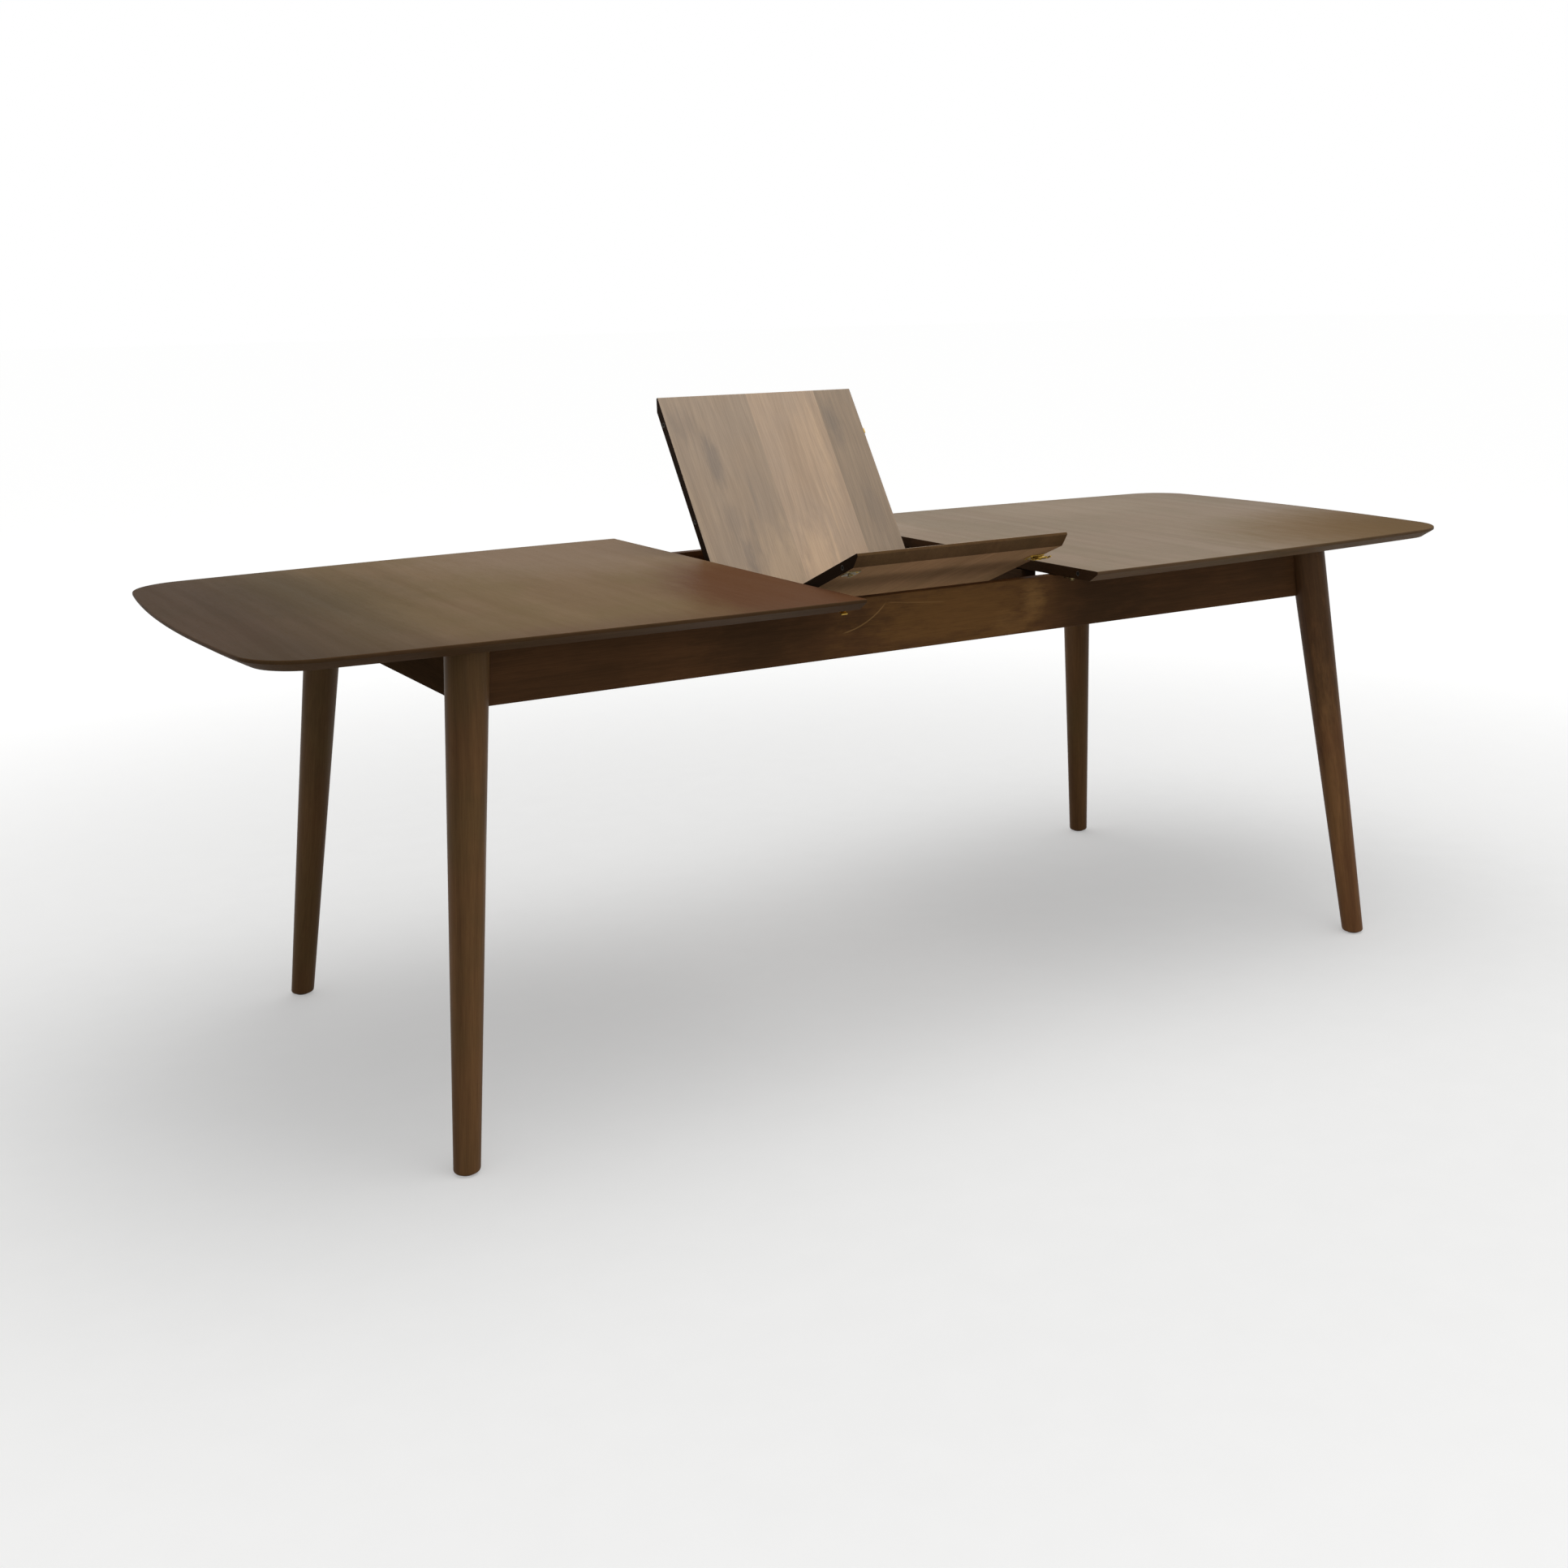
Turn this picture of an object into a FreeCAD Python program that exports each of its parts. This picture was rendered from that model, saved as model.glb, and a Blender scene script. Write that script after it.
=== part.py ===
import FreeCAD, Part
import math
import os

# Butterfly leaf table, millimetres. The origin is on the floor under the middle of the base, +X runs
# along the table, +Y to its back and +Z up. The base stands still, the two halves of the top slide
# along X, and the leaf between them is two boards that fold face to face and turn on two pivot pins.

V = FreeCAD.Vector
X, Y, Z = V(1, 0, 0), V(0, 1, 0), V(0, 0, 1)

# ---------------------------------------------------------------- driving dimensions
# Whole table
table_height = 760.0
top_thickness = 18.0

# Halves of the top
half_length = 910.0
top_width = 900.0
side_bow = 43.0
end_bow = 29.0
corner_radius = 95.0
nose_height = 5.0
nose_round = 2.0
bevel_inset = 20.0
half_opening = 220.0

# Butterfly leaf
leaf_length = 402.0
fold_gap = 0.4
pivot_drop = 31.2
back_tilt = 56.4
front_tilt = 22.0

# Legs
foot_x, foot_y = 890.0, 420.0
leg_top_x, leg_top_y = 802.5, 336.0
foot_radius = 19.3
leg_top_radius = 31.4
foot_round = 5.0
top_play = 1.0

# Foot glides
glide_radius = 12.0
glide_height = 2.5
glide_nail_radius = 1.6
glide_nail_length = 16.0

# Aprons
apron_height = 91.0
apron_thickness = 20.0
side_apron_face = 335.0
end_apron_face = 804.0

# Corner blocks and leg bolts
block_side = 100.0
block_height = 62.0
block_drop = 14.0
bolt_radius = 4.0
bolt_bore_play = 0.5
bolt_spacing = 34.0
bolt_into_leg = 32.0
bolt_stick_out = 14.0
washer_radius = 10.0
washer_thickness = 1.6
nut_radius = 7.5
nut_thickness = 6.5

# Guide rails on the side aprons
guide_end_gap = 4.0
guide_thickness = 22.0
guide_height = 46.0
guide_drop = 19.0
groove_depth = 12.0
groove_height = 12.0
groove_from_bottom = 18.0

# Runners under the halves
runner_from_edge = 80.0
runner_length = 360.0
runner_thickness = 38.0
runner_height = 60.0
runner_play = 0.5

# Cross rails that carry the leaf
cross_rail_play = 17.0
cross_rail_thickness = 30.0
cross_rail_drop = 1.0
cross_rail_end_gap = 5.5
cross_tongue_height = 22.0

# Pivot hardware
pivot_pin_radius = 4.0
pivot_pin_play = 0.1
bush_radius = 6.0
bush_length = 16.0
bracket_plate = 2.5
bracket_width = 50.0
bracket_foot = 28.0
bracket_end_gap = 2.0
lug_radius = 9.0
pin_head_radius = 7.0
pin_head_length = 2.5
pin_end_gap = 1.0

# Fold hinges
hinge_spread = 130.0
hinge_length = 50.0
hinge_plate = 1.6
hinge_plate_width = 22.0
knuckle_radius = 2.0
knuckle_count = 5
knuckle_play = 0.3
hinge_pin_radius = 0.9
hinge_pin_play = 0.05
hinge_web = 3.0
hinge_screw_place = 14.3

# Alignment pins (steel dowels) and their sockets
dowel_radius = 3.0
dowel_out = 5.0
dowel_in = 16.0
dowel_round = 2.0
dowel_inner = 204.0
dowel_from_side = 51.0
socket_wall = 0.8
socket_play = 0.2
socket_depth = 9.0

# Table locks
left_lock_from_side = 52.0
right_lock_from_side = 80.0
lock_plate = 2.0
lock_plate_length = 28.0
lock_plate_width = 24.0
rivet_from_edge = 16.0
rivet_radius = 2.5
rivet_head_radius = 4.5
rivet_head_height = 1.5
rivet_play = 0.1
hook_width = 10.0
hook_thickness = 2.5
hook_play = 0.3
hook_slot_play = 0.6
hook_tip = 2.5
keeper_from_edge = 11.0
keeper_plate_length = 26.0
lock_screw_back = 9.5
lock_screw_spread = 7.7
lock_plate_set_back = 1.0
keeper_pin_radius = 2.6

# Wood screws
screw_radius = 2.0
screw_head_radius = 4.0
screw_head_height = 2.0
screw_bite = 12.0
guide_screw_sink = 3.0
small_screw_radius = 1.3
small_screw_head_radius = 2.6
small_screw_head_height = 0.9
small_screw_bite = 10.0
screw_dome_share = 0.6
guide_screw_count = 3
runner_screw_count = 3

# ---------------------------------------------------------------- sizes that follow
top_under = table_height - top_thickness
bevel_height = top_thickness - nose_height
frame_top = top_under - top_play
half_width = top_width / 2
half_leaf = leaf_length / 2
apron_bottom = frame_top - apron_height
side_apron_inner = side_apron_face - apron_thickness
end_apron_inner = end_apron_face - apron_thickness
guide_half_length = end_apron_inner - block_side - guide_end_gap
guide_top = frame_top - guide_drop
guide_bottom = guide_top - guide_height
guide_inner = side_apron_inner - guide_thickness
groove_bottom = guide_bottom + groove_from_bottom
runner_outer = guide_inner - runner_play
runner_inner = runner_outer - runner_thickness
runner_start = half_opening + runner_from_edge
runner_end = runner_start + runner_length
cross_inner = half_leaf + cross_rail_play
cross_outer = cross_inner + cross_rail_thickness
cross_top = frame_top - cross_rail_drop
cross_end = runner_inner - cross_rail_end_gap
cross_bottom = guide_bottom - cross_tongue_height
pivot_y = half_width / 4  # a quarter across, so that the stowed stack lies in the middle
pivot_z = table_height - pivot_drop
left_lock_y = half_width - left_lock_from_side
right_lock_y = half_width - right_lock_from_side
dowel_places = (dowel_inner, half_width - dowel_from_side)
hook_top = top_under - lock_plate - hook_play
hook_bottom = hook_top - hook_thickness
head_top = hook_bottom - hook_play
BIG = 3000.0  # larger than the table
HAIR = 0.01  # how near two places count as one
CLEAR = 1.0  # how far a cut runs past a face


# ---------------------------------------------------------------- shape helpers
def box(x0, x1, y0, y1, z0, z1):
    """A block between two corners, given in any order."""
    xs, ys, zs = sorted((x0, x1)), sorted((y0, y1)), sorted((z0, z1))
    return Part.makeBox(xs[1] - xs[0], ys[1] - ys[0], zs[1] - zs[0], V(xs[0], ys[0], zs[0]))


def rod(radius, start, end):
    """A round bar between two points."""
    return Part.makeCylinder(radius, (end - start).Length, start, end - start)


def prism(points, thickness):
    """A flat polygon drawn out by a thickness vector."""
    return Part.Face(Part.makePolygon(points + points[:1])).extrude(thickness)


def join(shapes):
    """One solid from shapes that touch or overlap."""
    return shapes[0].multiFuse(shapes[1:]).removeSplitter()


def group(shapes):
    """Separate solids kept together in one node."""
    return Part.Compound([solid for shape in shapes for solid in shape.Solids])


def mirror_x(shape):
    """The shape on the other end of the table."""
    return shape.mirror(V(0, 0, 0), X)


def mirror_y(shape):
    """The shape on the other side of the table."""
    return shape.mirror(V(0, 0, 0), Y)


def placed(shape, sx, sy):
    """The shape made for the +X +Y corner, mirrored to the corner that the two signs name."""
    out = shape if sx > 0 else mirror_x(shape)
    return out if sy > 0 else mirror_y(out)


def screw(point, direction, grip, small=False):
    """A wood screw whose head sits on point; grip is what it passes through before it bites."""
    radius = small_screw_radius if small else screw_radius
    head = small_screw_head_radius if small else screw_head_radius
    height = small_screw_head_height if small else screw_head_height
    bite = small_screw_bite if small else screw_bite
    dome = Part.makeCone(head, head * screw_dome_share, height, point, direction * -1)
    return join([dome, rod(radius, point, point + direction * (grip + bite))])


def turned_back(shape):
    """A copy of a piece of the back board, turned from flat to where it rests."""
    return shape.rotated(V(0, pivot_y, pivot_z), X, back_tilt)


def turned_front(shape):
    """A copy of a piece of the front board, folded about the hinge line and carried with the back board."""
    folded = shape.rotated(V(0, 0, table_height), X, -(back_tilt + front_tilt))
    return turned_back(folded)


# ---------------------------------------------------------------- base
def leg_cone():
    """The tapered round of a leg at the +X +Y corner, run on by a tenth past both ends."""
    foot, head = V(foot_x, foot_y, 0), V(leg_top_x, leg_top_y, frame_top)
    axis = head - foot
    overrun = 0.1
    slope = (leg_top_radius - foot_radius) * overrun
    start, length = foot - axis * overrun, axis.Length * (1 + 2 * overrun)
    return Part.makeCone(foot_radius - slope, leg_top_radius + slope, length, start, axis)


def leg_bolt_lines():
    """Start and end points of the two bolts that hold the +X +Y leg to its corner block."""
    inward = V(-1, -1, 0).normalize()
    face_sum = end_apron_inner + side_apron_inner - block_side
    middle = frame_top - block_drop - block_height / 2
    lines = []
    for z in (middle - bolt_spacing / 2, middle + bolt_spacing / 2):
        t = z / frame_top
        on_axis = V(foot_x + (leg_top_x - foot_x) * t, foot_y + (leg_top_y - foot_y) * t, z)
        to_face = (on_axis.x + on_axis.y - face_sum) / math.sqrt(2)
        radius = foot_radius + (leg_top_radius - foot_radius) * t
        tip = on_axis + inward * (radius - bolt_into_leg)
        lines.append((on_axis + inward * to_face, tip))
    return inward, lines


def bolt_bores():
    """The clearance bores of the two bolts, from the corner block's face outwards."""
    _, lines = leg_bolt_lines()
    return [rod(bolt_radius + bolt_bore_play, face, tip) for face, tip in lines]


def leg():
    """The leg, cut level at both ends, rounded at the foot and bored for its bolts and its glide."""
    body = leg_cone().common(box(0, BIG, 0, BIG, glide_height, frame_top))
    rim = [e for e in body.Edges if abs(e.CenterOfMass.z - glide_height) < HAIR]
    body = body.makeFillet(foot_round, rim)
    _, lines = leg_bolt_lines()
    bores = [rod(bolt_radius, face, tip) for face, tip in lines]
    bores.append(rod(glide_nail_radius, V(foot_x, foot_y, 0), V(foot_x, foot_y, glide_nail_length)))
    return body.cut(bores)


def glide():
    """A round pad and its nail."""
    pad = rod(glide_radius, V(foot_x, foot_y, 0), V(foot_x, foot_y, glide_height))
    nail = rod(glide_nail_radius, V(foot_x, foot_y, 0), V(foot_x, foot_y, glide_nail_length))
    return join([pad, nail])


def side_apron():
    """The back apron; its ends are coped to the legs and it is drilled for the cross rail screws."""
    board = box(-leg_top_x, leg_top_x, side_apron_inner, side_apron_face, apron_bottom, frame_top)
    cuts = [end_apron(), mirror_x(end_apron())]
    for sx in (1, -1):
        cuts += [placed(s, sx, 1) for s in [leg_cone()] + guide_screws() + bolt_bores()]
    return max(board.cut(cuts).Solids, key=lambda solid: solid.Volume)


def end_apron():
    """The right apron, coped to the two legs and drilled for their bolts."""
    board = box(end_apron_inner, end_apron_face, -foot_y, foot_y, apron_bottom, frame_top)
    for sy in (1, -1):
        board = board.cut([placed(s, 1, sy) for s in [leg_cone()] + bolt_bores()])
    return max(board.Solids, key=lambda solid: solid.Volume)


def corner_block():
    """The triangular block behind a leg."""
    bottom = frame_top - block_drop - block_height
    x, y = end_apron_inner, side_apron_inner
    corners = [V(x, y, bottom), V(x - block_side, y, bottom), V(x, y - block_side, bottom)]
    return prism(corners, Z * block_height).cut([leg_cone()] + bolt_bores())


def leg_bolts():
    """The two bolts of a leg."""
    inward, lines = leg_bolt_lines()
    return [rod(bolt_radius, face + inward * bolt_stick_out, tip) for face, tip in lines]


def leg_washers():
    """The washers on the corner block's face."""
    inward, lines = leg_bolt_lines()
    rings = []
    for face, _ in lines:
        ring = rod(washer_radius, face, face + inward * washer_thickness)
        rings.append(ring.cut(rod(bolt_radius, face - inward, face + inward * (washer_thickness + CLEAR))))
    return rings


def leg_nuts():
    """The hexagon nuts on the washers."""
    inward, lines = leg_bolt_lines()
    side = V(-inward.y, inward.x, 0)
    nuts = []
    for face, _ in lines:
        seat = face + inward * washer_thickness
        angles = [math.radians(60 * i) for i in range(6)]
        rim = [seat + side * (nut_radius * math.cos(a)) + Z * (nut_radius * math.sin(a)) for a in angles]
        nut = prism(rim, inward * nut_thickness)
        nuts.append(nut.cut(rod(bolt_radius, seat - inward, seat + inward * (nut_thickness + CLEAR))))
    return nuts


def guide_screw_points():
    """Where the screws start in the back guide rail's inner face, for x above 0."""
    z = (groove_bottom + groove_height + guide_top) / 2
    step = guide_half_length / guide_screw_count
    return [V(step * (i + 0.5), guide_inner, z) for i in range(guide_screw_count)]


def guide_screws():
    """Screws through the back guide rail into the apron, their heads sunk below its face."""
    sink = Y * guide_screw_sink
    return [screw(point + sink, Y, guide_thickness - guide_screw_sink) for point in guide_screw_points()]


def guide_rail():
    """The back guide rail, with one stopped groove for each half's runner."""
    rail = box(-guide_half_length, guide_half_length, guide_inner, side_apron_inner, guide_bottom, guide_top)
    groove_start = runner_start - half_opening - runner_play
    groove = box(groove_start, runner_end + runner_play, guide_inner, guide_inner + groove_depth,
                 groove_bottom, groove_bottom + groove_height)
    sinks = [rod(screw_head_radius, point, point + Y * guide_screw_sink) for point in guide_screw_points()]
    cuts = [groove] + cross_screws() + guide_screws() + sinks
    return rail.cut(cuts + [mirror_x(shape) for shape in cuts])


def cross_screws():
    """Screws up through the back tongue of the right cross rail into the guide rail."""
    x = (cross_inner + cross_outer) / 2
    y = (guide_inner + side_apron_inner) / 2
    return [screw(V(x, y, cross_bottom), Z, cross_tongue_height)]


def cross_rail():
    """The right cross rail; its tongues pass under the runners and the guide rails."""
    body = box(cross_inner, cross_outer, -cross_end, cross_end, cross_bottom, cross_top)
    tongue = box(cross_inner, cross_outer, -side_apron_inner, side_apron_inner, cross_bottom, guide_bottom)
    rail = join([body, tongue])
    bore = rod(bush_radius, V(cross_inner, pivot_y, pivot_z), V(cross_inner + bush_length, pivot_y, pivot_z))
    screws = cross_screws()
    return rail.cut([bore] + screws + [mirror_y(s) for s in screws])


def pivot_bush():
    """The bush in the right cross rail that the pivot pin turns in."""
    start, end = V(cross_inner, pivot_y, pivot_z), V(cross_inner + bush_length, pivot_y, pivot_z)
    return rod(bush_radius, start, end).cut(rod(pivot_pin_radius + pivot_pin_play, start - X, end + X))


# ---------------------------------------------------------------- halves of the top
def arc_between(centre, radius, start_angle, end_angle):
    """A level circular arc, counterclockwise between two angles in radians."""
    return Part.ArcOfCircle(Part.Circle(centre, Z, radius), start_angle, end_angle).toShape()


def half_outline(inset, height, z):
    """The right half seen from above as a slab, drawn in by the inset on its three outer sides."""
    reach = half_length - end_bow
    side_radius = (reach ** 2 + side_bow ** 2) / (2 * side_bow)
    end_width = half_width - side_bow
    end_radius = (end_width ** 2 + end_bow ** 2) / (2 * end_bow)
    side_centre = V(half_opening, half_width - side_radius, z)
    end_centre = V(half_opening + half_length - end_radius, 0, z)
    r1, r2 = side_radius - inset, end_radius - inset
    gap = end_centre - side_centre
    along = (gap.Length ** 2 + r1 ** 2 - r2 ** 2) / (2 * gap.Length)
    side_step = math.sqrt(r1 ** 2 - along ** 2)
    unit = V(gap).normalize()
    left_of = V(-unit.y, unit.x, 0)
    meets = [side_centre + unit * along + left_of * (side_step * s) for s in (1, -1)]
    corner = max(meets, key=lambda point: point.y + point.x)
    side_end = math.atan2(corner.y - side_centre.y, corner.x - side_centre.x)
    end_angle = math.atan2(corner.y - end_centre.y, corner.x - end_centre.x)
    overrun = math.pi / 2 + bevel_inset / side_radius
    back_arc = arc_between(side_centre, r1, side_end, overrun)
    front_centre = V(side_centre.x, -side_centre.y, z)
    front_arc = arc_between(front_centre, r1, -overrun, -side_end)
    end_arc = arc_between(end_centre, r2, -end_angle, end_angle)
    inner_end = side_centre + V(math.cos(overrun), math.sin(overrun), 0) * r1
    inner_line = Part.makeLine(inner_end, V(inner_end.x, -inner_end.y, z))
    slab = Part.Face(Part.Wire([front_arc, end_arc, back_arc, inner_line])).extrude(Z * height)
    far = half_opening + half_length / 2
    uprights = [e for e in slab.Edges if e.BoundBox.ZLength > height / 2 and e.CenterOfMass.x > far]
    return slab.makeFillet(corner_radius - inset, uprights)


def level_face(shape, z):
    """The flat face of a shape at one height."""
    return [f for f in shape.Faces if f.BoundBox.ZLength < HAIR and abs(f.CenterOfMass.z - z) < HAIR][0]


def top_half():
    """The right half: a slab with rounded corners, a small nose and an undercut bevel."""
    nose_bottom = table_height - nose_height
    slab = half_outline(0, nose_height, nose_bottom)
    foot = half_outline(bevel_inset, bevel_height, top_under)
    wires = [level_face(foot, top_under).OuterWire, level_face(slab, nose_bottom).OuterWire]
    bevel = Part.makeLoft(wires, True, True)
    rim = [e for e in level_face(slab, table_height).Edges if e.CenterOfMass.x > half_opening]
    slab = slab.makeFillet(nose_round, rim)
    body = slab.fuse(bevel)
    inner = box(half_opening, BIG, -BIG, BIG, 0, BIG)
    return body.common(inner).Solids[0]


def runner_screws():
    """Screws up through the back runner of the right half, sunk in deep bores."""
    y = (runner_inner + runner_outer) / 2
    z = top_under - runner_height / 3
    step = runner_length / runner_screw_count
    places = [runner_start + step * (i + 0.5) for i in range(runner_screw_count)]
    return [screw(V(x, y, z), Z, top_under - z) for x in places]


def runner():
    """The back runner of the right half, with the tongue that rides in the guide rail's groove."""
    bottom = top_under - runner_height
    body = box(runner_start, runner_end, runner_inner, runner_outer, bottom, top_under)
    tongue = box(runner_start, runner_end, runner_outer - CLEAR, guide_inner + groove_depth - runner_play,
                 groove_bottom + runner_play / 2, groove_bottom + groove_height - runner_play)
    screws = runner_screws()
    sinks = []
    for shape in screws:
        place = shape.BoundBox
        x, y = place.Center.x, place.Center.y
        sinks.append(rod(screw_head_radius, V(x, y, bottom), V(x, y, place.ZMin + screw_head_height)))
    return join([body, tongue]).cut(screws + sinks)


def dowel(y, edge, direction):
    """An alignment pin in an inner edge, sticking out along the direction in X."""
    z = table_height - top_thickness / 2
    start, end = V(edge - direction * dowel_in, y, z), V(edge + direction * dowel_out, y, z)
    pin = rod(dowel_radius, start, end)
    rim = [e for e in pin.Edges if abs(e.CenterOfMass.x - end.x) < HAIR]
    return pin.makeFillet(dowel_round, rim)


def socket(y, edge, direction):
    """A socket let into an inner edge; direction in X points out of the wood."""
    z = table_height - top_thickness / 2
    mouth, bottom = V(edge, y, z), V(edge - direction * socket_depth, y, z)
    outer = rod(dowel_radius + socket_play + socket_wall, bottom, mouth)
    floor_point = bottom + X * (direction * socket_wall)
    return outer.cut(rod(dowel_radius + socket_play, floor_point, mouth + X * direction))


# ---------------------------------------------------------------- table locks, made in the flat state
def lock_base(edge, y, direction):
    """Plate, two screws and rivet of a lock; direction in X points over the edge to the keeper."""
    rivet_x = edge - direction * rivet_from_edge
    front = edge - direction * lock_plate_set_back
    plate = box(front, front - direction * lock_plate_length, y - lock_plate_width / 2,
                y + lock_plate_width / 2, top_under - lock_plate, top_under)
    screws = []
    for side in (1, -1):
        place = V(rivet_x - direction * lock_screw_back, y + side * lock_screw_spread, top_under - lock_plate)
        screws.append(screw(place, Z, lock_plate, small=True))
    shank = rod(rivet_radius, V(rivet_x, y, top_under), V(rivet_x, y, head_top))
    head = rod(rivet_head_radius, V(rivet_x, y, head_top), V(rivet_x, y, head_top - rivet_head_height))
    return plate.cut(screws + [shank]), screws, join([shank, head])


def lock_hook(edge, y, direction):
    """The hook lever of a lock, at rest straight over the edge; its slot opens to the table's side."""
    outward = math.copysign(1, y)
    rivet_x = edge - direction * rivet_from_edge
    pin_x = edge + direction * keeper_from_edge
    slot_radius = keeper_pin_radius + hook_slot_play
    tip_x = pin_x + direction * (slot_radius + hook_tip)
    bar = box(rivet_x, tip_x, y - hook_width / 2, y + hook_width / 2, hook_bottom, hook_top)
    eye = rod(hook_width / 2, V(rivet_x, y, hook_bottom), V(rivet_x, y, hook_top))
    slot = rod(slot_radius, V(pin_x, y, hook_bottom), V(pin_x, y, hook_top))
    mouth = box(pin_x - slot_radius, pin_x + slot_radius, y, y + outward * hook_width, hook_bottom, hook_top)
    bore = rod(rivet_radius + rivet_play, V(rivet_x, y, hook_bottom), V(rivet_x, y, hook_top))
    return join([bar, eye]).cut([slot, mouth, bore])


def lock_keeper(edge, y, direction):
    """Plate with its headed pin, and its two screws; direction in X points to the lock."""
    pin_x = edge - direction * keeper_from_edge
    front = edge - direction * lock_plate_set_back
    plate = box(front, front - direction * keeper_plate_length, y - lock_plate_width / 2,
                y + lock_plate_width / 2, top_under - lock_plate, top_under)
    pin = rod(keeper_pin_radius, V(pin_x, y, top_under - lock_plate), V(pin_x, y, head_top))
    head = rod(rivet_head_radius, V(pin_x, y, head_top), V(pin_x, y, head_top - rivet_head_height))
    screws = []
    for side in (1, -1):
        place = V(pin_x - direction * lock_screw_back, y + side * lock_screw_spread, top_under - lock_plate)
        screws.append(screw(place, Z, lock_plate, small=True))
    return join([plate, pin, head]).cut(screws), screws


# ---------------------------------------------------------------- butterfly leaf, made flat
def leaf_board():
    """The back board: square ends, a nose and bevel along its outer edge, the fold edge at Y 0."""
    z0, z1, zn = top_under, table_height, table_height - nose_height
    profile = [(fold_gap / 2, z0), (half_width - bevel_inset, z0), (half_width, zn),
               (half_width, z1), (fold_gap / 2, z1)]
    board = prism([V(-half_leaf, y, z) for y, z in profile], X * leaf_length)
    rim = [e for e in board.Edges if e.BoundBox.YMin > half_width - HAIR and e.BoundBox.ZMin > z1 - HAIR]
    return board.makeFillet(nose_round, rim)


def hinge_parts():
    """Plates of the back and front board and the pins, for both fold hinges, in the flat state."""
    back, front, pins, relief = [], [], [], []
    axis_z = table_height
    pitch = hinge_length / knuckle_count
    for middle in (-hinge_spread, hinge_spread):
        start = middle - hinge_length / 2
        plate = box(start, start + hinge_length, 0, hinge_plate_width, axis_z - hinge_plate, axis_z)
        barrel = rod(knuckle_radius, V(start, 0, axis_z), V(start + hinge_length, 0, axis_z))
        pins.append(rod(hinge_pin_radius, V(start, 0, axis_z), V(start + hinge_length, 0, axis_z)))
        round_room = rod(knuckle_radius + knuckle_play, V(start - knuckle_play, 0, axis_z),
                         V(start + hinge_length + knuckle_play, 0, axis_z))
        relief.append(round_room)
        sides = {1: [], -1: []}
        for i in range(knuckle_count):
            x0, x1 = start + i * pitch, start + (i + 1) * pitch
            own = 1 if i % 2 == 0 else -1
            trim = knuckle_play / 2
            sides[own].append(box(x0 + trim, x1 - trim, -BIG, BIG, 0, BIG))
        loose = hinge_pin_radius + hinge_pin_play
        for own, keep, radius in ((1, back, hinge_pin_radius), (-1, front, loose)):
            own_plate = plate if own > 0 else mirror_y(plate)
            flat = own_plate.cut(round_room)
            web = box(start, start + hinge_length, 0, own * hinge_web, axis_z - hinge_plate, axis_z)
            arms = join([barrel, web]).common(group(sides[own]))
            bore = rod(radius, V(start - CLEAR, 0, axis_z), V(start + hinge_length + CLEAR, 0, axis_z))
            keep.append(join([flat] + arms.Solids).cut(bore))
    return back, front, pins, relief


def leaf_hinge_screws():
    """Screws of the back board's hinge plates."""
    out = []
    for middle in (-hinge_spread, hinge_spread):
        for dx in (-hinge_length / 3, 0, hinge_length / 3):
            place = V(middle + dx, hinge_screw_place, table_height - small_screw_head_height)
            cone = Part.makeCone(small_screw_head_radius * screw_dome_share, small_screw_head_radius,
                                 small_screw_head_height, place, Z)
            out.append(join([cone, rod(small_screw_radius, place, place - Z * small_screw_bite)]))
    return out


def bracket():
    """The right pivot bracket: a foot under the back board and a lug down to the pivot."""
    outer = half_leaf - bracket_end_gap
    inner = outer - bracket_plate
    y0, y1 = pivot_y - bracket_width / 2, pivot_y + bracket_width / 2
    foot_bottom = top_under - bracket_plate
    foot = box(outer - bracket_foot, outer, y0, y1, foot_bottom, top_under)
    rim = [V(inner, y0, foot_bottom), V(inner, pivot_y - lug_radius, pivot_z),
           V(inner, pivot_y + lug_radius, pivot_z), V(inner, y1, foot_bottom)]
    lug = prism(rim, X * bracket_plate)
    eye = rod(lug_radius, V(inner, pivot_y, pivot_z), V(outer, pivot_y, pivot_z))
    bore = rod(pivot_pin_radius, V(inner - CLEAR, pivot_y, pivot_z), V(outer + CLEAR, pivot_y, pivot_z))
    return join([foot, lug, eye]).cut([bore] + bracket_screws())


def bracket_screws():
    """The two screws of the right pivot bracket."""
    x = half_leaf - bracket_end_gap - bracket_plate - (bracket_foot - bracket_plate) / 2
    z = top_under - bracket_plate
    return [screw(V(x, pivot_y + dy, z), Z, bracket_plate, small=True)
            for dy in (-bracket_width / 3, bracket_width / 3)]


def pivot_pin():
    """The right pivot pin, from its head on the bracket into the bush."""
    inner = half_leaf - bracket_end_gap - bracket_plate
    head = rod(pin_head_radius, V(inner - pin_head_length, pivot_y, pivot_z), V(inner, pivot_y, pivot_z))
    end = cross_inner + bush_length - pin_end_gap
    shank = rod(pivot_pin_radius, V(inner, pivot_y, pivot_z), V(end, pivot_y, pivot_z))
    return join([head, shank])


# ---------------------------------------------------------------- assembly
nodes = {}
CORNERS = {"front_left": (-1, -1), "front_right": (1, -1), "back_left": (-1, 1), "back_right": (1, 1)}


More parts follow.
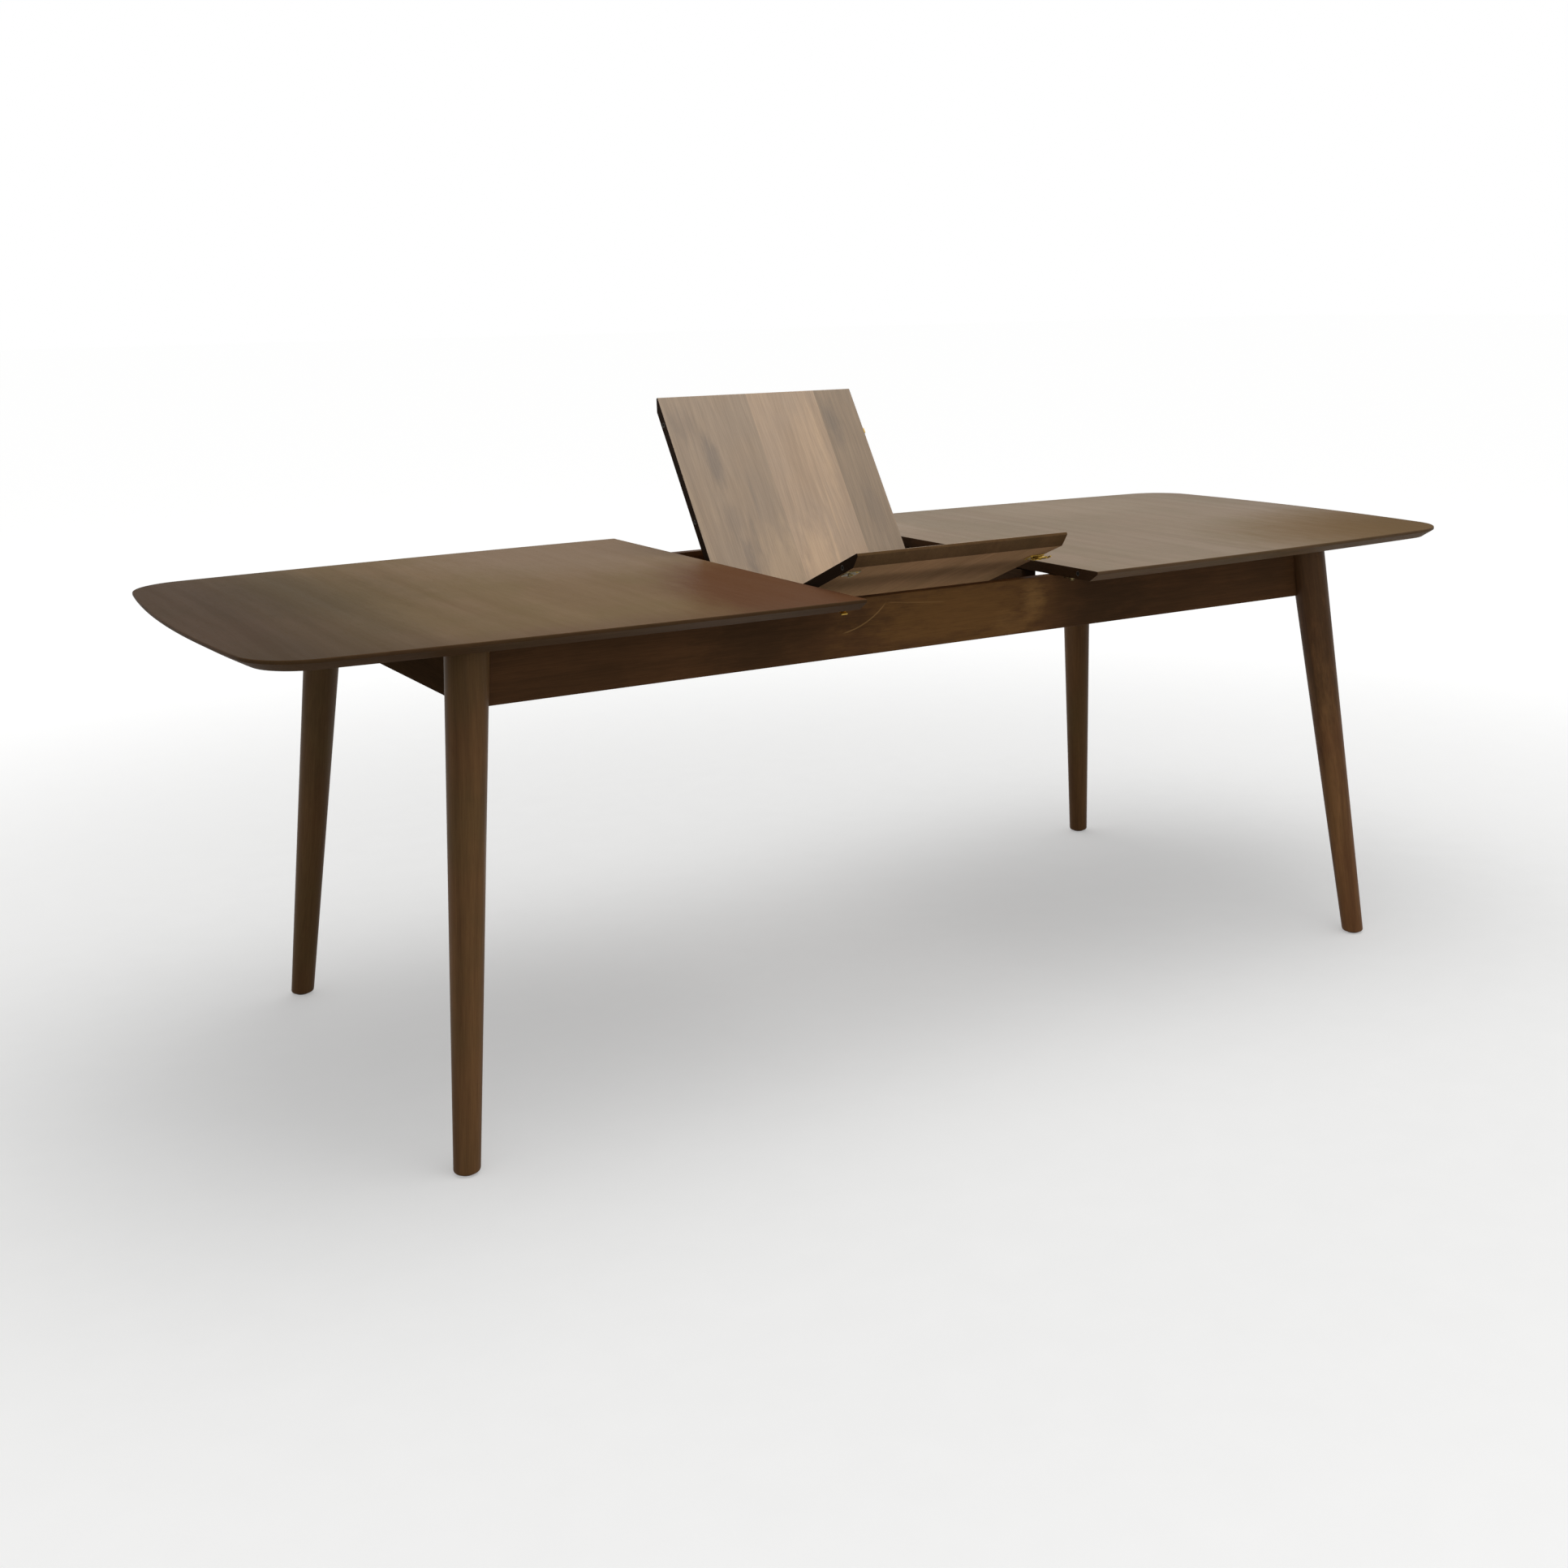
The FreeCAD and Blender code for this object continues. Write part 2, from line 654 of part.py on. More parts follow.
def build_base():
    """Legs, aprons, corner blocks, rails and their fastenings."""
    for name, (sx, sy) in CORNERS.items():
        nodes["leg_" + name] = placed(leg(), sx, sy)
        nodes["corner_block_" + name] = placed(corner_block(), sx, sy)
    corners = list(CORNERS.values())
    nodes["foot_glides"] = group([placed(glide(), *c) for c in corners])
    nodes["leg_bolts"] = group([placed(s, *c) for c in corners for s in leg_bolts()])
    nodes["leg_washers"] = group([placed(s, *c) for c in corners for s in leg_washers()])
    nodes["leg_nuts"] = group([placed(s, *c) for c in corners for s in leg_nuts()])
    back = side_apron()
    nodes["side_apron_back"], nodes["side_apron_front"] = back, mirror_y(back)
    right = end_apron()
    nodes["end_apron_right"], nodes["end_apron_left"] = right, mirror_x(right)
    guide = guide_rail()
    nodes["guide_rail_back"], nodes["guide_rail_front"] = guide, mirror_y(guide)
    cross = cross_rail()
    nodes["cross_rail_right"], nodes["cross_rail_left"] = cross, mirror_x(cross)
    nodes["pivot_bushes"] = group([pivot_bush(), mirror_x(pivot_bush())])
    rail_screws = guide_screws() + cross_screws()
    nodes["rail_screws"] = group([placed(s, *c) for c in corners for s in rail_screws])


def build_halves():
    """The two halves of the top with their runners, locks or keepers, and alignment pins or sockets."""
    dowel_rows = [s * y for s in (1, -1) for y in dowel_places]
    for name, sx in (("left", -1), ("right", 1)):
        edge, out = sx * half_opening, -sx
        top = placed(top_half(), sx, 1)
        fittings = []
        if sx < 0:
            pins = [dowel(y, edge, out) for y in dowel_rows]
            nodes["alignment_pins_left"] = group(pins)
            parts = [lock_base(edge, y, out) for y in (-left_lock_y, left_lock_y)]
            nodes["lock_plates_left"] = group([p[0] for p in parts])
            nodes["lock_screws_left"] = group([s for p in parts for s in p[1]])
            nodes["lock_rivets_left"] = group([p[2] for p in parts])
            fittings = pins + [s for p in parts for s in p[1]]
            for side, y in (("front", -left_lock_y), ("back", left_lock_y)):
                nodes["lock_hook_left_" + side] = lock_hook(edge, y, out)
        else:
            sockets = [socket(y, edge, out) for y in dowel_rows]
            nodes["alignment_sockets_right"] = group(sockets)
            parts = [lock_keeper(edge, y, out) for y in (-right_lock_y, right_lock_y)]
            nodes["lock_keepers_right"] = group([p[0] for p in parts])
            nodes["keeper_screws_right"] = group([s for p in parts for s in p[1]])
            cores = [rod(dowel_radius + socket_play + socket_wall, s.BoundBox.Center - X * socket_depth / 2,
                         s.BoundBox.Center + X * socket_depth / 2) for s in sockets]
            fittings = cores + [s for p in parts for s in p[1]]
        screws = [placed(s, sx, sy) for sy in (1, -1) for s in runner_screws()]
        nodes["runner_screws_" + name] = group(screws)
        nodes["top_" + name] = top.cut(fittings + screws)
        for side, sy in (("front", -1), ("back", 1)):
            nodes["runner_%s_%s" % (name, side)] = placed(runner(), sx, sy)


def build_leaf():
    """The two boards of the leaf with their hardware, made flat and turned to where they rest."""
    board = leaf_board()
    hinge_back, hinge_front, hinge_pins, relief = hinge_parts()
    plates = [box(m - hinge_length / 2, m + hinge_length / 2, 0, hinge_plate_width,
                  table_height - hinge_plate, table_height) for m in (-hinge_spread, hinge_spread)]
    hinge_screws = leaf_hinge_screws()
    for name, sy, turn in (("back", 1, turned_back), ("front", -1, turned_front)):
        pins = [dowel(sy * y, half_leaf, 1) for y in dowel_places]
        sockets = [socket(sy * y, -half_leaf, -1) for y in dowel_places]
        cores = [rod(dowel_radius + socket_play + socket_wall, s.BoundBox.Center - X * socket_depth / 2,
                     s.BoundBox.Center + X * socket_depth / 2) for s in sockets]
        plate, lock_screws, rivet = lock_base(half_leaf, sy * right_lock_y, 1)
        keeper, keeper_screws = lock_keeper(-half_leaf, sy * left_lock_y, -1)
        small = [placed(s, 1, sy) for s in hinge_screws]
        cuts = pins + cores + lock_screws + keeper_screws + small + relief
        cuts += [placed(p, 1, sy) for p in plates]
        own_plates = [p.cut(small) for p in (hinge_back if sy > 0 else hinge_front)]
        own = {
            "alignment_pins_leaf_": pins, "alignment_sockets_leaf_": sockets, "lock_plate_leaf_": [plate],
            "lock_rivet_leaf_": [rivet], "lock_hook_leaf_": [lock_hook(half_leaf, sy * right_lock_y, 1)],
            "lock_keeper_leaf_": [keeper], "leaf_screws_": lock_screws + keeper_screws + small,
            "fold_hinge_plates_": own_plates,
        }
        if sy > 0:
            brackets = [bracket(), mirror_x(bracket())]
            own_screws = bracket_screws()
            both = own_screws + [mirror_x(s) for s in own_screws]
            own["leaf_screws_"] = own["leaf_screws_"] + both
            cuts += both
            nodes["pivot_brackets"] = group([turn(s) for s in brackets])
            nodes["pivot_pins"] = group([turn(s) for s in (pivot_pin(), mirror_x(pivot_pin()))])
            nodes["fold_hinge_pins"] = group([turn(s) for s in hinge_pins])
        nodes["leaf_board_" + name] = turn(placed(board, 1, sy).cut(cuts))
        for prefix, shapes in own.items():
            nodes[prefix + name] = group([turn(s) for s in shapes])


build_base()
build_halves()
build_leaf()
os.makedirs("parts", exist_ok=True)
for node_name, shape in nodes.items():
    shape.exportStep("parts/%s.step" % node_name)
    print(node_name, len(shape.Solids), shape.isValid(), round(shape.Volume))
print(len(nodes), "nodes")
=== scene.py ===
"""The finished look of a butterfly leaf table.

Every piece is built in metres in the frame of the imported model: the origin lies on the floor
under the middle of the base, +X runs along the table, +Y to its back and +Z up. Pieces of the
leaf are built with the leaf flat and then turned to where it rests.
"""

import logging
import math
from dataclasses import dataclass
from enum import Enum
from typing import ClassVar, Iterable, Sequence

import bmesh
import bpy
from mathutils import Matrix, Vector

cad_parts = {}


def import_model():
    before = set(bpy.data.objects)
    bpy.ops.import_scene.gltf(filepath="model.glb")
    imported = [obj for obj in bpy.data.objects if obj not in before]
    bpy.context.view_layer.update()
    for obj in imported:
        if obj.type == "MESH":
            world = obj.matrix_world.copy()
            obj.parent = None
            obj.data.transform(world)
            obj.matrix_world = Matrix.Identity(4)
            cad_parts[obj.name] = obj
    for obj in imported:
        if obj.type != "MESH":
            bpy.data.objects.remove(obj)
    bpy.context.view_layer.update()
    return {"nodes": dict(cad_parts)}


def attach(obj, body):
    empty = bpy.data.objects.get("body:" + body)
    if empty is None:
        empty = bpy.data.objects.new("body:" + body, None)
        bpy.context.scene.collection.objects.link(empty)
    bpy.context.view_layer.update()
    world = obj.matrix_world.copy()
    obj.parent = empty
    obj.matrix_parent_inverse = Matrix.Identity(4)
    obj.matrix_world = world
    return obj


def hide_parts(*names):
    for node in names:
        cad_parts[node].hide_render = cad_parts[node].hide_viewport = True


LOG = logging.getLogger("leaf_table")
MM = 0.001

# sizes that several pieces share
TOP, UNDER, HALF_WIDTH = 760 * MM, 742 * MM, 450 * MM
OPENING, HALF_LEAF = 220 * MM, 201 * MM
NOSE, NOSE_ROUND, BEVEL = 5 * MM, 2 * MM, 20 * MM
SOCKET_RADIUS, SOCKET_DEPTH, BORE_SIDES = 4 * MM, 9 * MM, 28
PIN_PLACES = (204 * MM, 399 * MM)
PIVOT, FOLD = (0, 112.5 * MM, 728.8 * MM), (0, 0, TOP)
BACK_TILT, FRONT_TILT = 56.4, 22.0

Point = Sequence[float]
Shape = bmesh.types.BMesh
Socket = bpy.types.NodeSocket
Tone = tuple[int, int, int]


def shade(tone: Tone) -> Point:
    """Turns a display colour into the linear colour that a shader takes.

    Args:
        tone: red, green and blue from 0 to 255.

    Returns:
        The linear colour and a full alpha.
    """
    parts = [value / 255 for value in tone]
    return *(p / 12.92 if p <= 0.04045 else ((p + 0.055) / 1.055) ** 2.4 for p in parts), 1.0


# ------------------------------------------------------------------ materials
class Graph:
    """A shader tree, with short ways to add the nodes that the finishes share."""

    MIX_INPUTS: ClassVar[tuple[int, ...]] = (0, 6, 7)
    MIX_OUTPUT: ClassVar[int] = 2

    def __init__(self, owner: "bpy.types.Material | bpy.types.World") -> None:
        """Starts an empty tree.

        Args:
            owner: the material or world that it belongs to.
        """
        owner.use_nodes = True
        self.owner, self.tree = owner, owner.node_tree
        self.tree.nodes.clear()

    def node(self, kind: str, inputs: "Sequence | dict" = (), output: "int | str" = 0,
             **settings: str) -> Socket:
        """Adds a node.

        Args:
            kind: its type, without the ShaderNode in front.
            inputs: what feeds its inputs, in order or by key: an output socket, or a value.
            output: the output that is wanted.
            **settings: its own properties.

        Returns:
            The wanted output.
        """
        node = self.tree.nodes.new("ShaderNode" + kind)
        for name, value in settings.items():
            setattr(node, name, value)
        for key, value in inputs.items() if isinstance(inputs, dict) else enumerate(inputs):
            if isinstance(value, Socket):
                self.tree.links.new(value, node.inputs[key])
            else:
                node.inputs[key].default_value = value
        return node.outputs[output]

    def principled(self, **values: "Socket | float") -> Socket:
        """A Principled shader; an underscore in a name stands for a space."""
        named = {name.replace("_", " "): value for name, value in values.items()}
        return self.node("BsdfPrincipled", named)

    def finish(self, shader: Socket) -> "bpy.types.Material | bpy.types.World":
        """Ends the tree with a shader.

        Args:
            shader: the shader's output.

        Returns:
            The tree's owner.
        """
        end = self.tree.nodes.new("ShaderNodeOutput" + type(self.owner).__name__)
        self.tree.links.new(shader, end.inputs["Surface"])
        return self.owner

    def place(self, turn: Matrix = Matrix.Identity(4)) -> Socket:
        """Object coordinates, carried by a matrix into the frame that a pattern is laid out in."""
        return self.node("Mapping", {"Vector": self.node("TexCoord", output="Object"),
                                     "Location": turn.to_translation(),
                                     "Rotation": turn.to_euler("XYZ")})

    def split(self, kind: str, value: Socket) -> Sequence[Socket]:
        """The three parts of a vector or colour."""
        return self.node("Separate" + kind, (value,)).node.outputs[:]

    def times(self, vector: Socket, factors: "Socket | Point") -> Socket:
        """A vector or colour with each part multiplied by its own factor."""
        return self.node("VectorMath", (vector, factors), operation="MULTIPLY")

    def distance(self, point: Socket, centre: Point, reach: Point) -> Socket:
        """How far a point lies from a centre, counted in reaches along each axis.

        Args:
            point: the point.
            centre: the centre.
            reach: the length that counts as one, along each axis.

        Returns:
            The distance; 1 on the rim.
        """
        offset = self.node("VectorMath", (point, centre), operation="SUBTRACT")
        share = self.node("VectorMath", (offset, reach), operation="DIVIDE")
        return self.node("VectorMath", (share,), "Value", operation="LENGTH")

    def math(self, operation: str, *values: "Socket | float") -> Socket:
        """One step of arithmetic."""
        return self.node("Math", values, operation=operation)

    def ramp(self, value: Socket, *limits: float) -> Socket:
        """A smooth step of a value: from and to where, and if not 0 to 1, the results there."""
        return self.node("MapRange", (value, *limits), interpolation_type="SMOOTHSTEP")

    def noise(self, vector: Socket, scale: "float | Point", detail: float = 2.0,
              roughness: float = 0.5) -> Socket:
        """Soft noise from 0 to 1.

        Args:
            vector: where it is read.
            scale: how fine it is, everywhere or along each axis.
            detail: how many finer layers it has.
            roughness: how strong the finer layers are.

        Returns:
            The noise value.
        """
        if not isinstance(scale, float):
            vector, scale = self.times(vector, scale), 1.0
        return self.node("TexNoise", {"Vector": vector, "Scale": scale, "Detail": detail,
                                      "Roughness": roughness})

    def mix(self, factor: "Socket | float", *colours: "Socket | Tone") -> Socket:
        """Two colours blended, by how much of the second one shows.

        Args:
            factor: the second colour's share.
            *colours: each a socket or a display colour.

        Returns:
            The blended colour.
        """
        values = [c if isinstance(c, Socket) else shade(c) for c in colours]
        return self.node("Mix", dict(zip(self.MIX_INPUTS, (factor, *values))), self.MIX_OUTPUT,
                         data_type="RGBA")

    def bump(self, height: Socket, strength: float, depth: float) -> Socket:
        """The normal of a height pattern; the depth is in metres."""
        return self.node("Bump", {"Strength": strength, "Distance": depth, "Height": height})


class Grain(Enum):
    """Which way the fibres run: the axes along them, across them and through the board."""

    ALONG_X = (0, 1, 2)
    ALONG_Y = (1, 0, 2)
    ALONG_Z = (2, 0, 1)


@dataclass(frozen=True)
class Stave:
    """One strip of a board: where it starts across the grain, its tone, warmth and shift."""

    start: float
    tone: float
    warmth: float
    shift: float = 0.0


@dataclass(frozen=True)
class Patch:
    """A cloud in the wood's colour, for a tone of the stain as well as for painted light or shade:
    its place, colour, solid core, ragged rim and how dull it is.
    """

    centre: Point
    reach: Point
    colour: Tone
    strength: float
    core: float = 0.25
    ragged: float = 1.7
    dull: float = 0.0


@dataclass(frozen=True)
class Scratch:
    """A fine light arc rubbed into a face in the plane of X and Z."""

    centre: Point
    radius: float
    start: float
    end: float
    colour: Tone
    strength: float = 0.5
    half_width: float = 1.3 * MM
    fade: float = 12 * MM


@dataclass(frozen=True)
class WoodFinish:
    """Stained and lacquered wood with staves, streaks, growth rings, fibres and pores."""

    WARMTH: ClassVar[Point] = (1.16, 0.90, 0.76)
    # how fine each pattern is, per metre: across the grain, along it and through the board
    DRIFT: ClassVar[Point] = (5.0, 1.1, 5.0)
    STREAK: ClassVar[Point] = (34.0, 1.3, 34.0)
    CLOUD: ClassVar[Point] = (7.0, 4.5, 7.0)
    FIBRE: ClassVar[Point] = (620.0, 15.0, 620.0)
    PORE: ClassVar[Point] = (1250.0, 34.0, 1250.0)
    WANDER: ClassVar[Point] = (9.0, 1.9, 9.0)
    RAGGED: ClassVar[Point] = (60.0, 16.0, 60.0)

    name: str
    light: Tone
    dark: Tone
    cloud: Tone
    grain: Grain = Grain.ALONG_X
    turn: Matrix = Matrix.Identity(4)
    seed: float = 0.0
    streaks: float = 0.6
    rings: float = 0.15
    ring_width: float = 14 * MM
    clouds: float = 0.5
    fibres: float = 0.08
    roughness: float = 0.5
    specular: float = 0.2
    staves: tuple[Stave, ...] = ()
    glued: bool = True
    patches: tuple[Patch, ...] = ()
    scratches: tuple[Scratch, ...] = ()

    def shader(self, graph: Graph) -> Socket:
        """Builds the shader.

        Args:
            graph: the material's tree.

        Returns:
            The shader's output.
        """
        here = graph.place(self.turn)
        parts = graph.split("XYZ", here)
        along, across, through = (parts[axis] for axis in self.grain.value)
        tone, warmth, shift = self._staves(graph, across)
        along = graph.math("ADD", along, shift)
        across = graph.math("MULTIPLY_ADD", shift, 0.37, across)
        through = graph.math("ADD", through, self.seed)
        spot = graph.node("CombineXYZ", (across, along, through))
        drift = graph.noise(spot, self.DRIFT)
        bent = graph.math("MULTIPLY_ADD", drift, 0.07, across)
        fibre_spot = graph.node("CombineXYZ", (bent, along, through))
        streak = graph.noise(fibre_spot, self.STREAK, 5.0, 0.6)
        streaks = graph.ramp(streak, 0.34, 0.70, 0.0, self.streaks)
        colour = graph.mix(streaks, self.light, self.dark)
        rings = graph.math("MULTIPLY", self._rings(graph, spot, bent), self.rings)
        colour = graph.mix(rings, colour, self.dark)
        cloud = graph.noise(spot, self.CLOUD, 4.0, 0.6)
        colour = graph.mix(graph.ramp(cloud, 0.40, 0.66, 0.0, self.clouds), colour, self.cloud)
        rough = graph.math("MULTIPLY_ADD", streak, 0.12, self.roughness - 0.06)
        for patch in self.patches:
            share = self._share(graph, patch, here, spot)
            colour = graph.mix(share, colour, patch.colour)
            if patch.dull:
                rough = graph.math("MULTIPLY_ADD", share, patch.dull, rough)
        fibre = graph.noise(fibre_spot, self.FIBRE, 3.0)
        grainy = graph.ramp(fibre, 0.3, 0.7, 1.0 - self.fibres, 1.0 + self.fibres)
        colour = graph.times(colour, graph.math("MULTIPLY", grainy, tone))
        colour = graph.mix(warmth, colour, graph.times(colour, self.WARMTH))
        pores = graph.ramp(graph.noise(fibre_spot, self.PORE, 1.0), 0.60, 0.72)
        colour = graph.mix(graph.math("MULTIPLY", pores, 3 * self.fibres), colour, self.dark)
        for scratch in self.scratches:
            colour = graph.mix(self._scratch(graph, scratch, parts), colour, scratch.colour)
        relief = graph.math("MULTIPLY_ADD", pores, -0.8, graph.math("MULTIPLY", fibre, 0.5))
        return graph.principled(
            Base_Color=colour, Roughness=graph.math("MULTIPLY_ADD", pores, 0.08, rough),
            Specular_IOR_Level=self.specular, Normal=graph.bump(relief, 0.15, 0.2 * MM))

    def _staves(self, graph: Graph, across: Socket) -> "Sequence[Socket | float]":
        """The tone, warmth and pattern shift of the stave at a point.

        Args:
            graph: the material's tree.
            across: the place across the grain.

        Returns:
            The three values; plain ones where the board is one piece.
        """
        if not self.staves:
            return 1.0, 0.0, 0.0
        low, high = self.staves[0].start - 0.01, self.staves[-1].start + 0.5
        looked_up = graph.node("ValToRGB", (graph.node("MapRange", (across, low, high)),))
        table = looked_up.node.color_ramp
        table.interpolation = "CONSTANT" if self.glued else "EASE"
        while len(table.elements) < len(self.staves):
            table.elements.new(0.5)
        for stop, stave in zip(table.elements, self.staves):
            stop.position = (stave.start - low) / (high - low)
        stops = sorted(table.elements, key=lambda item: item.position)
        for stop, stave in zip(stops, self.staves):
            stop.color = (stave.tone / 2, stave.warmth, stave.shift, 1.0)
        half_tone, warmth, shift = graph.split("Color", looked_up)
        return graph.math("MULTIPLY", half_tone, 2.0), warmth, shift

    def _rings(self, graph: Graph, spot: Socket, bent: Socket) -> Socket:
        """Growth rings: soft bands, each with one sharper side, that wander along the board.

        Args:
            graph: the material's tree.
            spot: the place on the board.
            bent: the place across the grain, after the drift.

        Returns:
            How much of the late wood shows.
        """
        wander = graph.noise(spot, self.WANDER, 3.0)
        count = graph.math("DIVIDE", bent, self.ring_width)
        phase = graph.math("FRACT", graph.math("MULTIPLY_ADD", wander, 7.0, count))
        fall = graph.ramp(phase, 0.94, 1.0, 1.0, 0.0)
        return graph.math("MULTIPLY", graph.ramp(phase, 0.25, 0.93), fall)

    def _share(self, graph: Graph, patch: Patch, here: Socket, spot: Socket) -> Socket:
        """How much of a cloud shows at a point.

        Args:
            graph: the material's tree.
            patch: where the cloud is and how it looks.
            here: the point in the pattern's own frame.
            spot: the place on the board, for the ragged rim.

        Returns:
            The share, up to the cloud's strength.
        """
        ragged = graph.math("SUBTRACT", graph.noise(spot, self.RAGGED, 4.0, 0.65), 0.5)
        away = graph.distance(here, patch.centre, patch.reach)
        spread = graph.math("MULTIPLY_ADD", ragged, patch.ragged, away)
        return graph.ramp(spread, patch.core, 1.15, patch.strength, 0.0)

    def _scratch(self, graph: Graph, scratch: Scratch, parts: Sequence[Socket]) -> Socket:
        """How much of a fine arc shows at a point.

        Args:
            graph: the material's tree.
            scratch: the arc.
            parts: the parts of the pattern's own coordinates.

        Returns:
            The share, up to the arc's strength.
        """
        x, z = parts[0], parts[2]
        dx, dz = (graph.math("SUBTRACT", p, c) for p, c in zip((x, z), scratch.centre))
        squares = graph.math("ADD", *(graph.math("MULTIPLY", d, d) for d in (dx, dz)))
        off = graph.math("SUBTRACT", graph.math("SQRT", squares), scratch.radius)
        line = graph.ramp(graph.math("ABSOLUTE", off), 0.2 * MM, scratch.half_width,
                          scratch.strength, 0.0)
        begun = graph.ramp(x, scratch.start, scratch.start + scratch.fade)
        ended = graph.ramp(x, scratch.end - scratch.fade, scratch.end, 1.0, 0.0)
        return graph.math("MULTIPLY", line, graph.math("MULTIPLY", begun, ended))


@dataclass(frozen=True)
class MetalFinish:
    """Drawn and lightly worn metal: brass, or zinc plated steel."""

    name: str
    bright: Tone
    dull: Tone
    roughness: float

    def shader(self, graph: Graph) -> Socket:
        """Builds the shader.

        Args:
            graph: the material's tree.

        Returns:
            The shader's output.
        """
        spot = graph.place()
        patina = graph.noise(spot, 90.0, 4.0, 0.6)
        brushed = graph.noise(spot, (300.0, 2600.0, 2600.0))
        rough = graph.math("MULTIPLY_ADD", brushed, 0.16, self.roughness - 0.08)
        return graph.principled(
            Base_Color=graph.mix(graph.ramp(patina, 0.4, 0.75), self.bright, self.dull),
            Roughness=graph.math("MULTIPLY_ADD", patina, 0.12, rough), Metallic=1.0,
            Normal=graph.bump(brushed, 0.08, 0.1 * MM))


@dataclass(frozen=True)
class PlasticFinish:
    """Moulded nylon with a fine spark-eroded skin."""

    name: str
    colour: Tone
    rubbed: Tone
    roughness: float = 0.5

    def shader(self, graph: Graph) -> Socket:
        """Builds the shader.

        Args:
            graph: the material's tree.

        Returns:
            The shader's output.
        """
        spot = graph.place()
        wear = graph.noise(spot, 140.0, 3.0)
        return graph.principled(
            Base_Color=graph.mix(graph.ramp(wear, 0.45, 0.7, 0.0, 0.6), self.colour, self.rubbed),
            Roughness=graph.math("MULTIPLY_ADD", wear, 0.15, self.roughness),
            Normal=graph.bump(graph.noise(spot, 4200.0, 1.0), 0.12, 0.05 * MM))


Finish = WoodFinish | MetalFinish | PlasticFinish


def material_of(finish: Finish) -> bpy.types.Material:
    """The material of a finish, built when it is first asked for.

    Args:
        finish: the finish.

    Returns:
        The material.
    """
    made = bpy.data.materials.get(finish.name)
    if made is None:
        graph = Graph(bpy.data.materials.new(finish.name))
        made = graph.finish(finish.shader(graph))
    return made


# ------------------------------------------------------------------ mesh work
def mesh_box(low: Point, high: Point) -> Shape:
    """A block between two corners.

    Args:
        low: the lowest corner.
        high: the highest corner.

    Returns:
        A new shape.
    """
    block = bmesh.new()
    bmesh.ops.create_cube(block, size=1.0)
    bmesh.ops.scale(block, vec=Vector(high) - Vector(low), verts=block.verts)
    bmesh.ops.translate(block, vec=(Vector(low) + Vector(high)) / 2, verts=block.verts)
    return block


def mesh_cone(radii: Point, start: Point, end: Point, sides: int) -> Shape:
    """A tapered round between two points.

    Args:
        radii: the radius at its start and at its end.
        start: the middle of the start.
        end: the middle of the end.
        sides: how many sides it has.

    Returns:
        A new shape.
    """
    cone, first, last = bmesh.new(), Vector(start), Vector(end)
    axis = last - first
    bmesh.ops.create_cone(cone, cap_ends=True, segments=sides, radius1=radii[0],
                          radius2=radii[1], depth=axis.length)
    bmesh.ops.transform(cone, matrix=aim((first + last) / 2, axis), verts=cone.verts)
    return cone


def mesh_rod(radius: float, start: Point, end: Point, sides: int = BORE_SIDES) -> Shape:
    """A round bar between two points."""
    return mesh_cone((radius, radius), start, end, sides)


def aim(point: Point, direction: Point) -> Matrix:
    """A matrix that puts the origin on a point and +Z along a direction."""
    turn = Vector(direction).normalized().to_track_quat("Z", "Y").to_matrix().to_4x4()
    return Matrix.Translation(point) @ turn


def quarter(radius: float, steps: int) -> list[tuple[float, float]]:
    """A quarter round: how far each of its points lies in from the side and below the top."""
    turns = [math.pi / 2 * step / steps for step in range(steps + 1)]
    return [(radius * (1 - math.cos(turn)), radius * (1 - math.sin(turn))) for turn in turns]


def ridges(start: float, pitch: float, count: int, steps: Sequence[Point]) -> list[Point]:
    """The outline of a thread or of rings.

    Args:
        start: the height where it starts.
        pitch: the height of one ridge, below zero to run down.
        count: how many ridges there are.
        steps: the points of one ridge: a radius, and a share of the pitch.

    Returns:
        Points of radius and height.
    """
    return [(radius, start + ridge * pitch + share * pitch)
            for ridge in range(count) for radius, share in steps]


def lathe(profile: Sequence[Point], steps: int) -> Shape:
    """A turned shape: points of radius and height, spun once round Z.

    Args:
        profile: the outline from one end of the axis to the other.
        steps: how many sides the turned shape has.

    Returns:
        A new shape.
    """
    turned = bmesh.new()
    points = [turned.verts.new((radius, 0.0, height)) for radius, height in profile]
    edges = [turned.edges.new(pair) for pair in zip(points, points[1:])]
    bmesh.ops.spin(turned, geom=points + edges, cent=(0, 0, 0), axis=(0, 0, 1), angle=math.tau,
                   steps=steps, use_merge=True, use_duplicate=False)
    bmesh.ops.remove_doubles(turned, verts=turned.verts, dist=0.01 * MM)
    bmesh.ops.recalc_face_normals(turned, faces=turned.faces)
    return turned


def to_mesh(name: str, shape: Shape) -> bpy.types.Mesh:
    """Puts a shape into a new mesh.

    Args:
        name: the mesh's name.
        shape: the shape, which is freed.

    Returns:
        The mesh.
    """
    mesh = bpy.data.meshes.new(name)
    shape.to_mesh(mesh)
    shape.free()
    return mesh


def add_object(name: str, data: bpy.types.ID) -> bpy.types.Object:
    """Adds an object to the scene.

    Args:
        name: its name.
        data: its mesh, lamp or camera.

    Returns:
        The object.
    """
    thing = bpy.data.objects.new(name, data)
    bpy.context.scene.collection.objects.link(thing)
    return thing


def merge(shapes: Iterable[Shape]) -> Shape:
    """Puts several shapes into one, side by side, and frees them.

    Args:
        shapes: the shapes.

    Returns:
        A new shape.
    """
    whole = bmesh.new()
    for shape in shapes:
        mesh = to_mesh("part", shape)
        whole.from_mesh(mesh)
        bpy.data.meshes.remove(mesh)
    return whole


